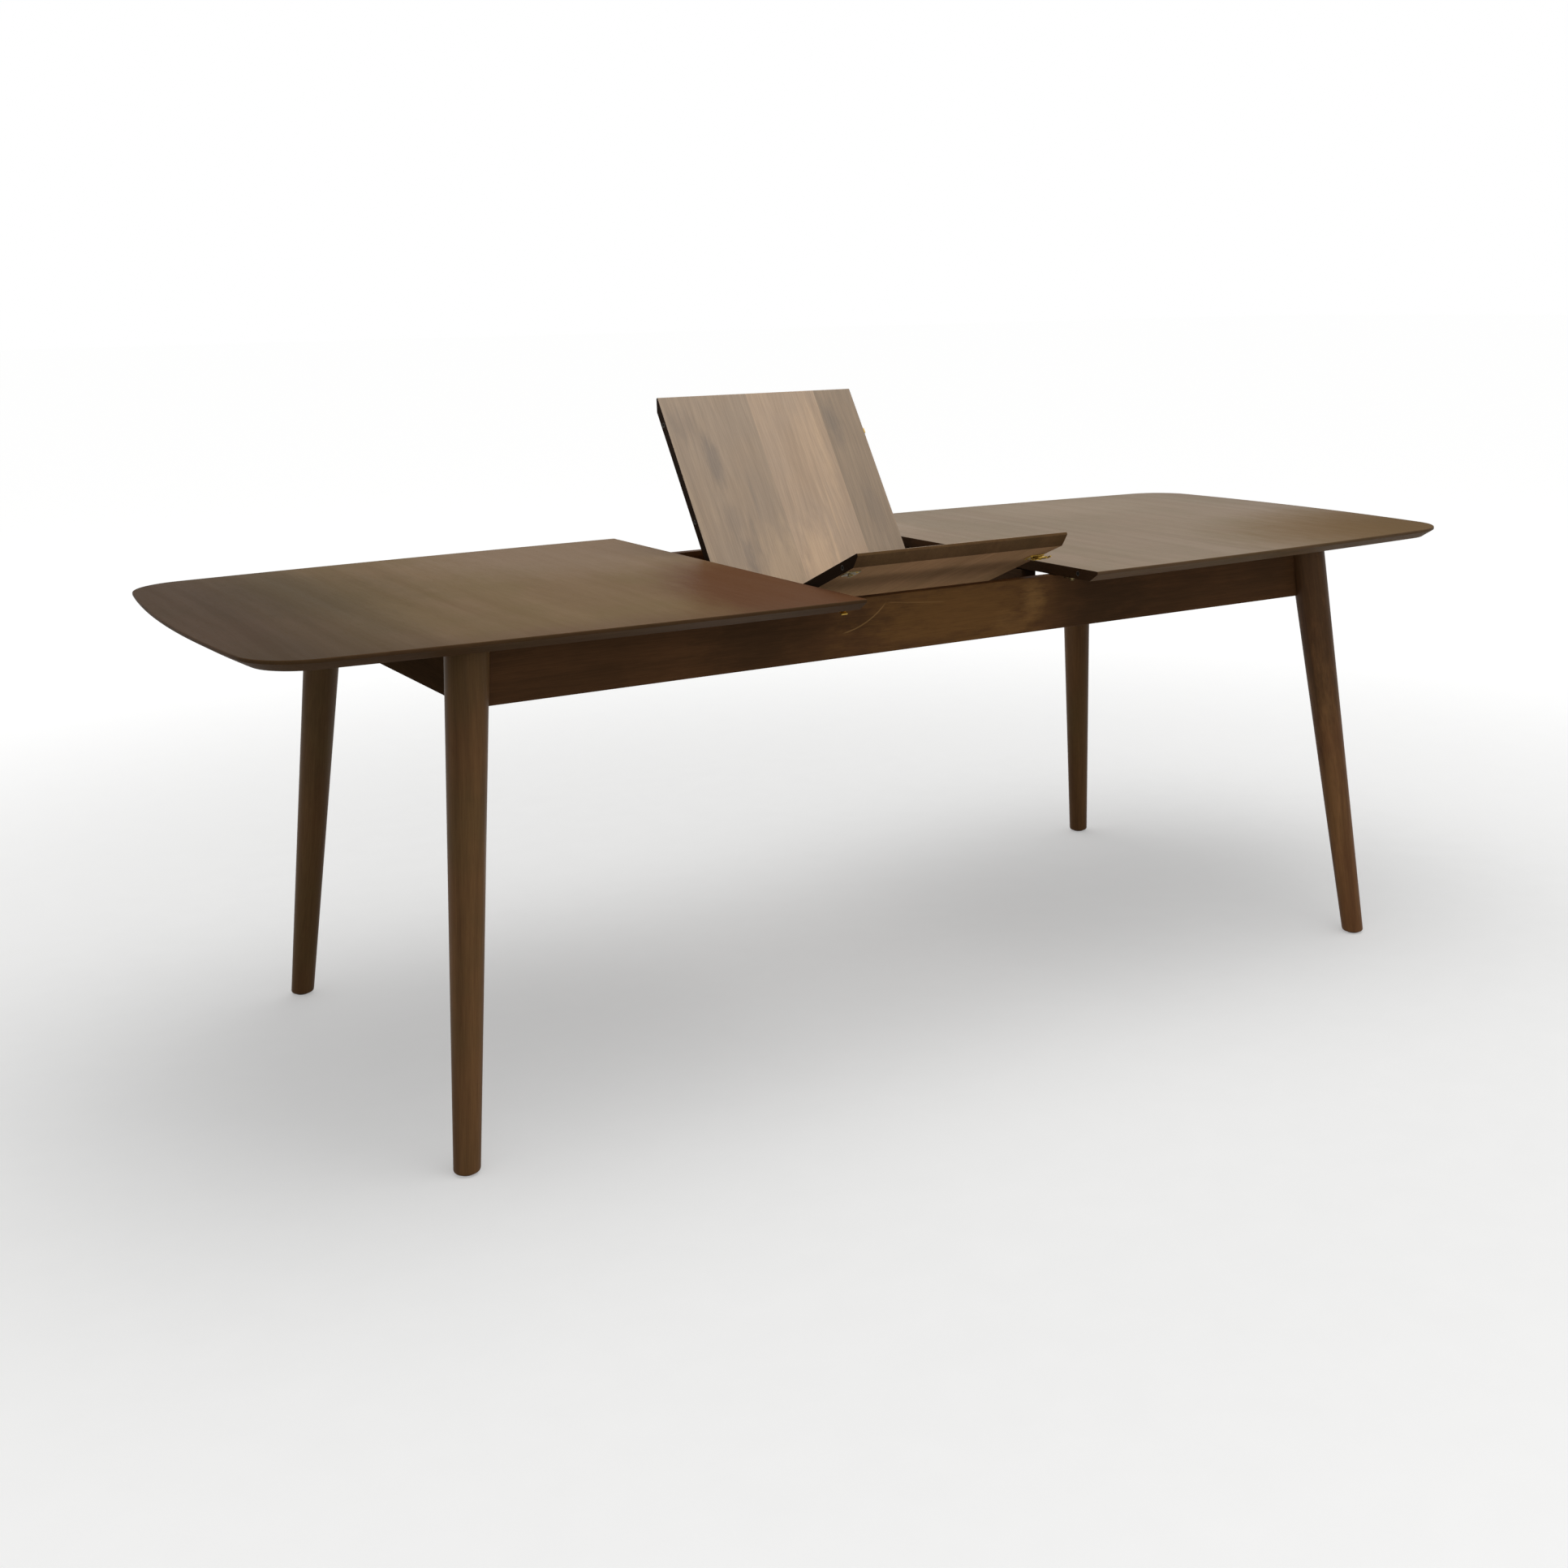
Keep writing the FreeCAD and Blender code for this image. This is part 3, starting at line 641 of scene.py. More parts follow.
def scatter(shape: Shape, places: Iterable[Matrix]) -> Shape:
    """Copies one shape to several places.

    Args:
        shape: the shape, which is freed.
        places: a matrix for each copy.

    Returns:
        A new shape with all copies.
    """
    copies = []
    for place in places:
        copy = shape.copy()
        bmesh.ops.transform(copy, matrix=place, verts=copy.verts)
        if place.determinant() < 0:
            bmesh.ops.reverse_faces(copy, faces=copy.faces)
        copies.append(copy)
    shape.free()
    return merge(copies)


def solve(shape: Shape, tools: Iterable[Shape], operation: str = "DIFFERENCE") -> Shape:
    """Cuts closed shapes out of another, or joins them to it.

    Args:
        shape: the shape that is changed, which is freed.
        tools: the shapes that cut or join, which are freed.
        operation: the Boolean modifier's operation.

    Returns:
        A new shape.
    """
    work = [add_object("work", to_mesh("work", part)) for part in (shape, merge(tools))]
    step = work[0].modifiers.new("work", "BOOLEAN")
    step.operation, step.solver, step.object = operation, "EXACT", work[1]
    bpy.context.view_layer.update()
    seen = work[0].evaluated_get(bpy.context.evaluated_depsgraph_get())
    meshes = [bpy.data.meshes.new_from_object(seen), *(worker.data for worker in work)]
    result = bmesh.new()
    result.from_mesh(meshes[0])
    for worker in work:
        bpy.data.objects.remove(worker)
    for mesh in meshes:
        bpy.data.meshes.remove(mesh)
    return result


def round_off(shape: Shape, edges: Sequence[bmesh.types.BMEdge], width: float,
              segments: int) -> None:
    """Rounds the chosen edges of a shape."""
    bmesh.ops.bevel(shape, geom=edges, offset=width, offset_type="OFFSET", segments=segments,
                    profile=0.5, affect="EDGES", clamp_overlap=False, material=-1)


def soften(shape: Shape, width: float, segments: int = 2, angle: float = 30.0) -> None:
    """Breaks the sharp edges of a shape.

    Args:
        shape: the shape.
        width: how wide the broken edge is.
        segments: how many steps it has.
        angle: the smallest angle between two faces that counts as sharp, in degrees.
    """
    limit = math.radians(angle)
    sharp = [e for e in shape.edges if len(e.link_faces) == 2 and e.calc_face_angle(0.0) > limit]
    round_off(shape, sharp, width, segments)


def slice_off(shape: Shape, point: Point, outward: Point) -> None:
    """Cuts a closed shape off flat at a plane and closes the cut.

    Args:
        shape: the shape.
        point: a point of the plane.
        outward: the plane's direction; what lies on that side is removed.
    """
    geometry = shape.verts[:] + shape.edges[:] + shape.faces[:]
    cut = bmesh.ops.bisect_plane(shape, geom=geometry, dist=1e-7, plane_co=point,
                                 plane_no=outward, clear_outer=True)
    rim = [item for item in cut["geom_cut"] if isinstance(item, bmesh.types.BMEdge)]
    bmesh.ops.contextual_create(shape, geom=rim)


def socket_holes(edge: float, places: Iterable[float]) -> list[Shape]:
    """Tools for the sockets in an edge that faces -X."""
    z = (TOP + UNDER) / 2
    return [mesh_rod(SOCKET_RADIUS, (edge - MM, y, z), (edge + SOCKET_DEPTH, y, z))
            for y in places]


# the one place of a piece that is built where it stands
HERE = (Matrix.Identity(4),)
SHARP_ANGLE = math.radians(40.0)


def show(names: tuple[str, str], body: str, finishes: Sequence[Finish], shape: Shape,
         places: Iterable[Matrix] = HERE) -> None:
    """Turns a shape into a finished piece of the table.

    Args:
        names: the piece's own name, and the model's node that it stands for.
        body: the body that it rides on.
        finishes: its finishes, in the order of the faces' numbers.
        shape: its shape, which is freed.
        places: a matrix for each copy of the shape in it.
    """
    name, node = names
    mesh = to_mesh(name, scatter(shape, places))
    mesh.shade_smooth()
    mesh.set_sharp_from_angle(angle=SHARP_ANGLE)
    for finish in finishes:
        mesh.materials.append(material_of(finish))
    piece = add_object(name, mesh)
    piece.modifiers.new("even_normals", "WEIGHTED_NORMAL").keep_sharp = True
    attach(piece, body)
    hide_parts(node)
    LOG.info("%s: %d faces on %s", name, len(mesh.polygons), body)


# ------------------------------------------------------------------ sides of the table
def turn_about(hub: Point, degrees: float) -> Matrix:
    """A turn about the line along X that a point lies on."""
    turn = Matrix.Rotation(math.radians(degrees), 4, "X")
    return Matrix.Translation(hub) @ turn @ Matrix.Translation(-Vector(hub))


class Side(Enum):
    """A side of the table; the value is its sign along X or Y."""

    @property
    def word(self) -> str:
        """The side's name in the nodes."""
        return self.name.lower()


class HalfSide(Side):
    """The two halves of the top, along X."""

    LEFT = -1
    RIGHT = 1


class BoardSide(Side):
    """The two boards of the leaf, along Y when flat."""

    BACK = 1
    FRONT = -1

    def rest(self) -> Matrix:
        """From flat to where this board rests: both turn up, and the front one folds over."""
        up = turn_about(PIVOT, BACK_TILT)
        return up if self is BoardSide.BACK else up @ turn_about(FOLD, -(BACK_TILT + FRONT_TILT))


CORNERS = {f"{end}_{side.word}": Matrix.Diagonal((side.value, sign, 1, 1))
           for end, sign in (("front", -1), ("back", 1)) for side in HalfSide}


# ------------------------------------------------------------------ finishes of the table
STAIN_RED, STAIN_OLIVE = (98, 60, 38), (90, 72, 42)

BRASS = MetalFinish("dulled_brass", (184, 151, 72), (120, 96, 46), 0.34)
AGED_BRASS = MetalFinish("aged_brass", (134, 119, 84), (84, 73, 50), 0.42)
ZINC = MetalFinish("zinc_plated_steel", (150, 150, 146), (100, 100, 98), 0.38)
DULL_ZINC = MetalFinish("dull_zinc", (104, 100, 94), (66, 62, 58), 0.5)
NYLON_DARK = PlasticFinish("dark_nylon", (46, 44, 42), (78, 74, 70))
NYLON_PALE = PlasticFinish("pale_nylon", (168, 160, 144), (134, 126, 112))


def inner_wood(name: str, grain: Grain, seed: float) -> WoodFinish:
    """The plain stained wood of parts inside the frame."""
    return WoodFinish(name, (70, 50, 33), (46, 33, 22), (62, 45, 28), grain, seed=seed,
                      rings=0.2, roughness=0.7, specular=0.04)


def top_clouds(rows: Iterable[tuple]) -> tuple[Patch, ...]:
    """Clouds in a top face, from rows of a place and a reach in X and Y, and the looks."""
    return tuple(Patch((x, y, TOP), (dx, dy, 1), *looks) for x, y, dx, dy, *looks in rows)


# ------------------------------------------------------------------ base
@dataclass
class Legs:
    """Four turned, tapered and splayed legs with their glides."""

    foot: Point = (890 * MM, 420 * MM, 0)
    head: Point = (802.5 * MM, 336 * MM, 741 * MM)
    foot_radius: float = 19.3 * MM
    head_radius: float = 31.4 * MM
    foot_round: float = 5 * MM
    glide_radius: float = 12 * MM
    glide_height: float = 2.5 * MM
    overrun: float = 0.1
    sides: int = 72
    tones: tuple[Tone, ...] = ((117, 84, 52), (133, 95, 59), (101, 74, 45), (109, 78, 47))
    # how strong the painted shade under the top is at each leg's head
    head_shades: tuple[float, ...] = (0.15, 0.6, 0.2, 0.15)

    def axis(self) -> tuple[Vector, Vector]:
        """The foot of the leg at the +X +Y corner, and the way from there to its head."""
        return Vector(self.foot), Vector(self.head) - Vector(self.foot)

    def leg(self) -> Shape:
        """The leg at the +X +Y corner: a long cone, cut level and rounded at the foot.

        Returns:
            A new shape.
        """
        grow = (self.head_radius - self.foot_radius) * self.overrun
        reach = self.axis()[1] * self.overrun
        shape = mesh_cone((self.foot_radius - grow, self.head_radius + grow),
                          Vector(self.foot) - reach, Vector(self.head) + reach, self.sides)
        slice_off(shape, (0, 0, self.head[2]), (0, 0, 1))
        slice_off(shape, (0, 0, self.glide_height), (0, 0, -1))
        middle = self.glide_height + 0.1 * MM
        rim = [e for e in shape.edges if all(v.co.z < middle for v in e.verts)]
        round_off(shape, rim, self.foot_round, 5)
        return shape

    def glide(self) -> Shape:
        """The glide under the +X +Y leg: a dished pad with its nail.

        Returns:
            A new shape.
        """
        r, h = self.glide_radius, self.glide_height
        profile = [(0, 0.7 * MM), (3.4 * MM, 0.5 * MM), (4.4 * MM, 0), (r - 1.2 * MM, 0),
                   (r - 0.3 * MM, 0.4 * MM), (r, 1.2 * MM), (r, h - 0.2 * MM),
                   (r - 0.4 * MM, h), (1.6 * MM, h), (1.6 * MM, 14 * MM), (0, 16 * MM)]
        return scatter(lathe(profile, 40), [Matrix.Translation(self.foot)])

    def build(self) -> None:
        """Builds and dresses the four legs and their glides."""
        foot, way = self.axis()
        for index, (corner, place) in enumerate(CORNERS.items()):
            upright = (place @ way).normalized().rotation_difference(Vector((0, 0, 1)))
            settle = upright.to_matrix().to_4x4() @ Matrix.Translation(-(place @ foot))
            # painted shade: each leg turns darker towards its head, under the overhanging top
            painted_head_shade = Patch((0, 0, way.length), (1, 1, 0.42), (46, 33, 21),
                               self.head_shades[index])
            finish = WoodFinish("leg_wood_" + corner, self.tones[index], (78, 53, 31),
                                STAIN_RED if index == 1 else STAIN_OLIVE, Grain.ALONG_Z, settle,
                                seed=1.7 * index + 0.3, streaks=0.7, rings=0.12,
                                ring_width=11 * MM, roughness=0.45, specular=0.08,
                                patches=(painted_head_shade,))
            show(("turned_leg_" + corner, "leg_" + corner), "base", [finish],
                 self.leg(), [place])
        show(("leg_glides", "foot_glides"), "base", [NYLON_DARK], self.glide(),
             CORNERS.values())


@dataclass
class Aprons:
    """The frame under the top: two long side aprons and two end aprons."""

    top: float = 741 * MM
    bottom: float = 650 * MM
    side_face: float = 335 * MM
    side_half: float = 802 * MM
    end_face: float = 804 * MM
    end_half: float = 332 * MM
    thickness: float = 20 * MM
    edge: float = 1.2 * MM

    def wear(self) -> tuple[tuple[Patch, ...], tuple[Scratch, ...]]:
        """Painted light and shade on the front apron, and its rubbed lines.

        Returns:
            The clouds of painted light and shade, and the scratches.
        """
        # painted light: lighter where light falls through the gap, with a golden figure there as a
        # painted highlight; painted shade: darker at the top under the overhanging halves; the
        # rubbed lines are real wear
        glow, painted_gap_light, painted_overhang_shade, rubbed = (150, 112, 66), (116, 82, 45), (60, 42, 26), (160, 124, 78)
        rows = ((0.02, 0.700, 0.230, 0.080, painted_gap_light, 0.75), (0.178, 0.704, 0.030, 0.034, glow, 0.45),
                (0.130, 0.672, 0.040, 0.022, glow, 0.2), (-0.345, 0.690, 0.110, 0.070, painted_overhang_shade, 0.55),
                (0.330, 0.690, 0.120, 0.070, painted_overhang_shade, 0.75))
        return (tuple(Patch((x, -self.side_face, z), (dx, 1, dz), *looks)
                      for x, z, dx, dz, *looks in rows),
                (Scratch((-209.7 * MM, 821.4 * MM), 133.7 * MM, -196 * MM, -110 * MM, rubbed,
                         0.55, 1.5 * MM),
                 Scratch((113.6 * MM, 2620.9 * MM), 1904.9 * MM, -114 * MM, 4 * MM, rubbed, 0.3)))

    def board(self, names: tuple[str, str], word: str, half: Point, finish: WoodFinish) -> None:
        """Builds and dresses one apron.

        Args:
            names: the starts of the piece's and of the node's name.
            word: the apron's side, which ends both names.
            half: two opposite corners in X and Y.
            finish: its finish.
        """
        (x0, x1), (y0, y1) = (sorted(pair) for pair in half)
        board = mesh_box((x0, y0, self.bottom), (x1, y1, self.top))
        soften(board, self.edge, 3)
        show((names[0] + word, names[1] + word), "base", [finish], board)

    def build(self) -> None:
        """Builds and dresses the four aprons."""
        # only the front apron has painted light and shade, and scratches
        for side, painted_light_and_scratches in ((BoardSide.FRONT, self.wear()), (BoardSide.BACK, ((), ()))):
            faces = [side.value * (self.side_face - t) for t in (0, self.thickness)]
            finish = WoodFinish("apron_wood_" + side.word, (91, 62, 38), (64, 44, 27),
                                (64, 44, 27), seed=5.0 + side.value, ring_width=17 * MM,
                                clouds=0.45, specular=0.03, patches=painted_light_and_scratches[0],
                                scratches=painted_light_and_scratches[1])
            self.board(("long_apron_", "side_apron_"), side.word,
                       ((-self.side_half, self.side_half), faces), finish)
        # the end aprons are a darker copy of the long aprons' wood: painted shade
        for side in HalfSide:
            faces = [side.value * (self.end_face - t) for t in (0, self.thickness)]
            finish = WoodFinish("apron_wood_" + side.word, (74, 54, 36), (56, 41, 28),
                                (56, 41, 28), Grain.ALONG_Y, seed=9.0 + side.value,
                                ring_width=17 * MM, clouds=0.45, specular=0.0)
            self.board(("short_apron_", "end_apron_"), side.word,
                       (faces, (-self.end_half, self.end_half)), finish)


# ------------------------------------------------------------------ halves of the top
@dataclass
class TopHalf:
    """One half of the boat-shaped top: bowed sides and end, round corners, nose and bevel."""

    side: HalfSide
    length: float = 910 * MM
    side_bow: float = 43 * MM
    end_bow: float = 29 * MM
    corner: float = 95 * MM

    def arcs(self) -> list[tuple[Vector, float, float, float, int]]:
        """The arcs of the right half's outline, counterclockwise from the front of the gap.

        Returns:
            For each arc its centre, its radius, its start and end angle and its steps.
        """
        reach, end_width = self.length - self.end_bow, HALF_WIDTH - self.side_bow
        side_radius = (reach ** 2 + self.side_bow ** 2) / (2 * self.side_bow)
        end_radius = (end_width ** 2 + self.end_bow ** 2) / (2 * self.end_bow)
        side = Vector((OPENING, HALF_WIDTH - side_radius, 0))
        end = Vector((OPENING + self.length - end_radius, 0, 0))
        r1, r2 = side_radius - self.corner, end_radius - self.corner
        gap = end - side
        along = (gap.length ** 2 + r1 ** 2 - r2 ** 2) / (2 * gap.length)
        unit = gap.normalized()
        aside = Vector((-unit.y, unit.x, 0)) * math.sqrt(r1 ** 2 - along ** 2)
        middle = max((side + unit * along + aside, side + unit * along - aside),
                     key=lambda point: point.x + point.y)
        a_side, a_end = (math.atan2(middle.y - c.y, middle.x - c.x) for c in (side, end))
        over = math.pi / 2 + BEVEL / side_radius
        front, low = Vector((side.x, -side.y, 0)), Vector((middle.x, -middle.y, 0))
        return [(front, side_radius, -over, -a_side, 44), (low, self.corner, -a_side, -a_end, 18),
                (end, end_radius, -a_end, a_end, 30), (middle, self.corner, a_end, a_side, 18),
                (side, side_radius, a_side, over, 44)]

    def ring(self, shape: Shape, inset: float, height: float) -> list[bmesh.types.BMEdge]:
        """The outline drawn in by an inset, as a closed ring of edges at one height.

        Args:
            shape: the shape that it is added to.
            inset: how far it is drawn in.
            height: its height.

        Returns:
            The ring's edges.
        """
        known, arcs = set(shape.edges), self.arcs()
        centre, radius, start, _, _ = arcs[0]
        begin = centre + Vector((math.cos(start), math.sin(start), 0)) * (radius - inset)
        first = shape.verts.new((begin.x, begin.y, height))
        last = [first]
        for centre, _, start, end, steps in arcs:
            swept = bmesh.ops.spin(shape, geom=last, cent=(centre.x, centre.y, height),
                                   axis=(0, 0, 1), angle=end - start, steps=steps,
                                   use_duplicate=False)
            last = [item for item in swept["geom_last"] if isinstance(item, bmesh.types.BMVert)]
        shape.edges.new((last[0], first))
        return [edge for edge in shape.edges if edge not in known]

    def slab(self) -> Shape:
        """The right half as a closed shape, with its sockets' holes.

        Returns:
            A new shape.
        """
        levels = [(BEVEL, UNDER), (0.0, TOP - NOSE)]
        levels += [(inset, TOP - drop) for inset, drop in quarter(NOSE_ROUND, 4)]
        shape = bmesh.new()
        rings = [self.ring(shape, inset, height) for inset, height in levels]
        for lower, upper in zip(rings, rings[1:]):
            bmesh.ops.bridge_loops(shape, edges=lower + upper)
        for ring in (rings[0], rings[-1]):
            bmesh.ops.contextual_create(shape, geom=ring)
        bmesh.ops.recalc_face_normals(shape, faces=shape.faces)
        slice_off(shape, (OPENING, 0, 0), (-1, 0, 0))
        bmesh.ops.recalc_face_normals(shape, faces=shape.faces)
        if self.side is HalfSide.RIGHT:
            places = [s * y for s in (1, -1) for y in PIN_PLACES]
            shape = solve(shape, socket_holes(OPENING, places))
        soften(shape, 0.5 * MM)
        for face in shape.faces:
            middle = face.calc_center_median()
            sawn = face.normal.x < -0.7 and middle.x < OPENING + MM
            level = face.normal.z > 0.9 and middle.z > TOP - MM
            face.material_index = 2 if sawn else 0 if level else 1
        return shape

    def stain(self) -> tuple[tuple[Stave, ...], tuple[Patch, ...], Sequence[Tone]]:
        """How the stain runs, with painted sheen and shade: along the half, in clouds, and on its
        rim.

        Returns:
            The staves from the lowest X, the clouds, and the rim's tones.
        """
        # on both halves the rim is darker than the face: partly stain soaking into the edge,
        # partly painted shade on the bevel that faces down
        if self.side is HalfSide.LEFT:
            # partly stain, partly painted sheen: the left half turns darker towards its far end
            # and is lighter towards the middle
            staves = ((-1.14, 0.34, 0.7), (-1.04, 0.36, 0.6), (-0.98, 0.48, 0.4),
                      (-0.90, 0.66, 0.05), (-0.80, 0.97, 0.05), (-0.62, 1.08, 0.0),
                      (-0.45, 1.04, 0.05), (-0.20, 1.08, 0.05))
            # the first cloud, pale and grey at the back by the gap, is a painted sheen; the second
            # and third make the front by the gap darker and redder
            clouds = ((-0.38, 0.32, 0.32, 0.36, (120, 100, 80), 0.75, 0.3, 0.6),
                      (-0.20, -0.40, 0.25, 0.50, (82, 52, 32), 0.95, 0.7, 0.25),
                      (-0.215, -0.30, 0.022, 0.16, (60, 36, 22), 0.5, 0.2, 0.6),
                      (-0.60, -0.47, 0.50, 0.13, (84, 60, 42), 0.5, 0.2, 0.4),
                      (-0.88, 0.16, 0.20, 0.34, (84, 67, 36), 0.7, 0.3, 0.8))
            rim = ((80, 58, 38), (58, 42, 27), (71, 53, 31))
        else:
            staves = ((0.21, 1.06, 0.05), (0.50, 1.02, 0.0), (0.72, 1.06, 0.0),
                      (0.95, 1.06, 0.0), (1.05, 1.02, 0.0), (1.14, 0.92, 0.1))
            clouds = ((0.24, 0.32, 0.12, 0.20, (140, 118, 92), 0.6, 0.3, 0.6),
                      (1.12, -0.42, 0.50, 0.42, (92, 70, 40), 0.85, 0.25, 0.3, 0.5),
                      (0.72, 0.30, 0.30, 0.16, (118, 98, 72), 0.5, 0.3, 1.0))
            rim = ((104, 82, 61), (78, 60, 43), (92, 75, 51))
        return tuple(Stave(*stave) for stave in staves), top_clouds(clouds), rim

    def build(self) -> None:
        """Builds and dresses the half."""
        word, seed = self.side.word, 3.0 + self.side.value
        staves, clouds, rim_stain_and_shade = self.stain()
        face = WoodFinish("top_wood_" + word, (108, 86, 58), (86, 67, 43), (98, 80, 48),
                          Grain.ALONG_Y, seed=seed, streaks=0.27, rings=0.03,
                          ring_width=23 * MM, clouds=0.6, fibres=0.04, roughness=0.46,
                          specular=0.01 if self.side is HalfSide.LEFT else 0.14,
                          staves=staves, glued=False, patches=clouds)
        rim = WoodFinish("rim_wood_" + word, *rim_stain_and_shade, seed=seed, specular=0.02)
        sawn = WoodFinish("sawn_wood_" + word, (62, 43, 28), (44, 31, 20), (54, 37, 23),
                          Grain.ALONG_Y, seed=seed, rings=0.3, ring_width=6 * MM,
                          roughness=0.6, specular=0.02)
        show(("table_top_" + word, "top_" + word), word + "_half",
             [face, rim, sawn], self.slab(), [Matrix.Diagonal((self.side.value, 1, 1, 1))])


# ------------------------------------------------------------------ leaf
@dataclass
class LeafBoard:
    """One board of the leaf: square ends, a nosed outer edge and a straight fold edge."""

    side: BoardSide
    fold_edge: float = 0.2 * MM
    hinge_place: float = 130 * MM
    hinge_length: float = 50 * MM
    hinge_width: float = 22 * MM
    hinge_plate: float = 1.6 * MM
    knuckle_room: float = 2.3 * MM
    knuckle_over: float = 0.3 * MM

    def board(self) -> Shape:
        """The flat back board with its holes and recesses.

        Returns:
            A new shape.
        """
        outline = [(self.fold_edge, UNDER), (HALF_WIDTH - BEVEL, UNDER), (HALF_WIDTH, TOP - NOSE),
                   (HALF_WIDTH, TOP), (self.fold_edge, TOP)]
        shape = bmesh.new()
        start = shape.faces.new([shape.verts.new((-HALF_LEAF, y, z)) for y, z in outline])
        grown = bmesh.ops.extrude_face_region(shape, geom=[start])
        moved = [item for item in grown["geom"] if isinstance(item, bmesh.types.BMVert)]
        bmesh.ops.translate(shape, vec=(2 * HALF_LEAF, 0, 0), verts=moved)
        bmesh.ops.recalc_face_normals(shape, faces=shape.faces)
        rim = [e for e in shape.edges
               if all(v.co.y > HALF_WIDTH - MM and v.co.z > TOP - MM for v in e.verts)]
        round_off(shape, rim, NOSE_ROUND, 4)
        shape = solve(shape, socket_holes(-HALF_LEAF, PIN_PLACES) + self.recesses())
        soften(shape, 0.4 * MM, 2, 33.5)
        for face in shape.faces:
            middle = face.calc_center_median()
            level = face.normal.z > 0.8 and middle.z > TOP - 0.4 * MM
            sawn = abs(face.normal.x) > 0.7 or face.normal.y < -0.7 and middle.y < MM
            below = face.normal.z < -0.9 and middle.z < UNDER + MM
            face.material_index = 0 if level else 2 if sawn else 3 if below else 1
        return shape

    def recesses(self) -> list[Shape]:
        """What the hinges' plates and knuckles need cut out of the fold edge.

        Returns:
            A new shape for each hinge.
        """
        made = []
        for middle in (-self.hinge_place, self.hinge_place):
            low, high = middle - self.hinge_length / 2, middle + self.hinge_length / 2
            recess = mesh_box((low, -MM, TOP - self.hinge_plate),
                              (high, self.hinge_width, TOP + MM))
            room = mesh_rod(self.knuckle_room, (low - self.knuckle_over, 0, TOP),
                            (high + self.knuckle_over, 0, TOP))
            made.append(solve(recess, [room], "UNION"))
        return made

    def figure(self) -> tuple[Patch, ...]:
        """The smoky and pale clouds in the top face, where they lie in the flat leaf.

        Returns:
            The clouds.
        """
        smoke, pale = (112, 104, 97), (186, 162, 134)
        if self.side is BoardSide.FRONT:
            return top_clouds(((0.08, -0.25, 0.03, 0.09, smoke, 0.5),
                               (-0.10, -0.12, 0.02, 0.07, smoke, 0.4)))
        return top_clouds(((-0.128, 0.195, 0.022, 0.050, smoke, 0.25),
                           (-0.098, 0.150, 0.008, 0.075, smoke, 0.45, 0.1, 1.0),
                           (-0.075, 0.230, 0.006, 0.080, smoke, 0.35, 0.1, 1.0),
                           (0.055, 0.120, 0.004, 0.110, pale, 0.45, 0.1, 1.0),
                           (0.075, 0.190, 0.003, 0.090, pale, 0.40, 0.1, 1.0),
                           (-0.118, 0.120, 0.018, 0.050, smoke, 0.45),
                           (-0.131, 0.315, 0.016, 0.070, smoke, 0.5),
                           (-0.165, 0.390, 0.030, 0.045, smoke, 0.28),
                           (0.140, 0.385, 0.022, 0.060, smoke, 0.45),
                           (0.165, 0.200, 0.020, 0.080, smoke, 0.25),
                           (-0.060, 0.100, 0.050, 0.110, pale, 0.5),
                           (0.020, 0.090, 0.045, 0.110, pale, 0.5),
                           (0.100, 0.330, 0.012, 0.120, pale, 0.30)))

    def build(self) -> None:
        """Builds and dresses the board."""
        rest, word, seed = self.side.rest(), self.side.word, 7.0 + self.side.value
        staves = (Stave(-0.21, 1.0, 0.05, 0.15), Stave(-0.025, 1.20, 0.15, 0.6),
                  Stave(0.119, 0.90, 0.0, 0.9))
        shared = {"grain": Grain.ALONG_Y, "turn": rest.inverted(), "seed": seed}
        face = WoodFinish("leaf_face_" + word, (168, 147, 124), (142, 125, 107),
                          (150, 135, 119), rings=0.3, ring_width=16 * MM, fibres=0.07,
                          staves=staves, patches=self.figure(), **shared)
        rim = WoodFinish("leaf_rim_" + word, (100, 74, 48), (78, 57, 36), (90, 70, 44),
                         rings=0.12, roughness=0.6, specular=0.03, **shared)
        sawn = WoodFinish("leaf_sawn_" + word, (40, 27, 16), (28, 19, 12), (35, 24, 14),
                          rings=0.3, ring_width=6 * MM, fibres=0.12, roughness=0.62,
                          specular=0.02, **shared)
        # the underside is paler than the rim: painted light bounced up from the floor
        below = WoodFinish("leaf_underside_" + word, (170, 132, 97), (140, 108, 79),
                           (154, 124, 90), rings=0.2, roughness=0.7, specular=0.0, **shared)
        show(("leaf_panel_" + word, "leaf_board_" + word), "leaf_" + word,
             [face, rim, sawn, below], self.board(),
             [rest @ Matrix.Diagonal((1, self.side.value, 1, 1))])


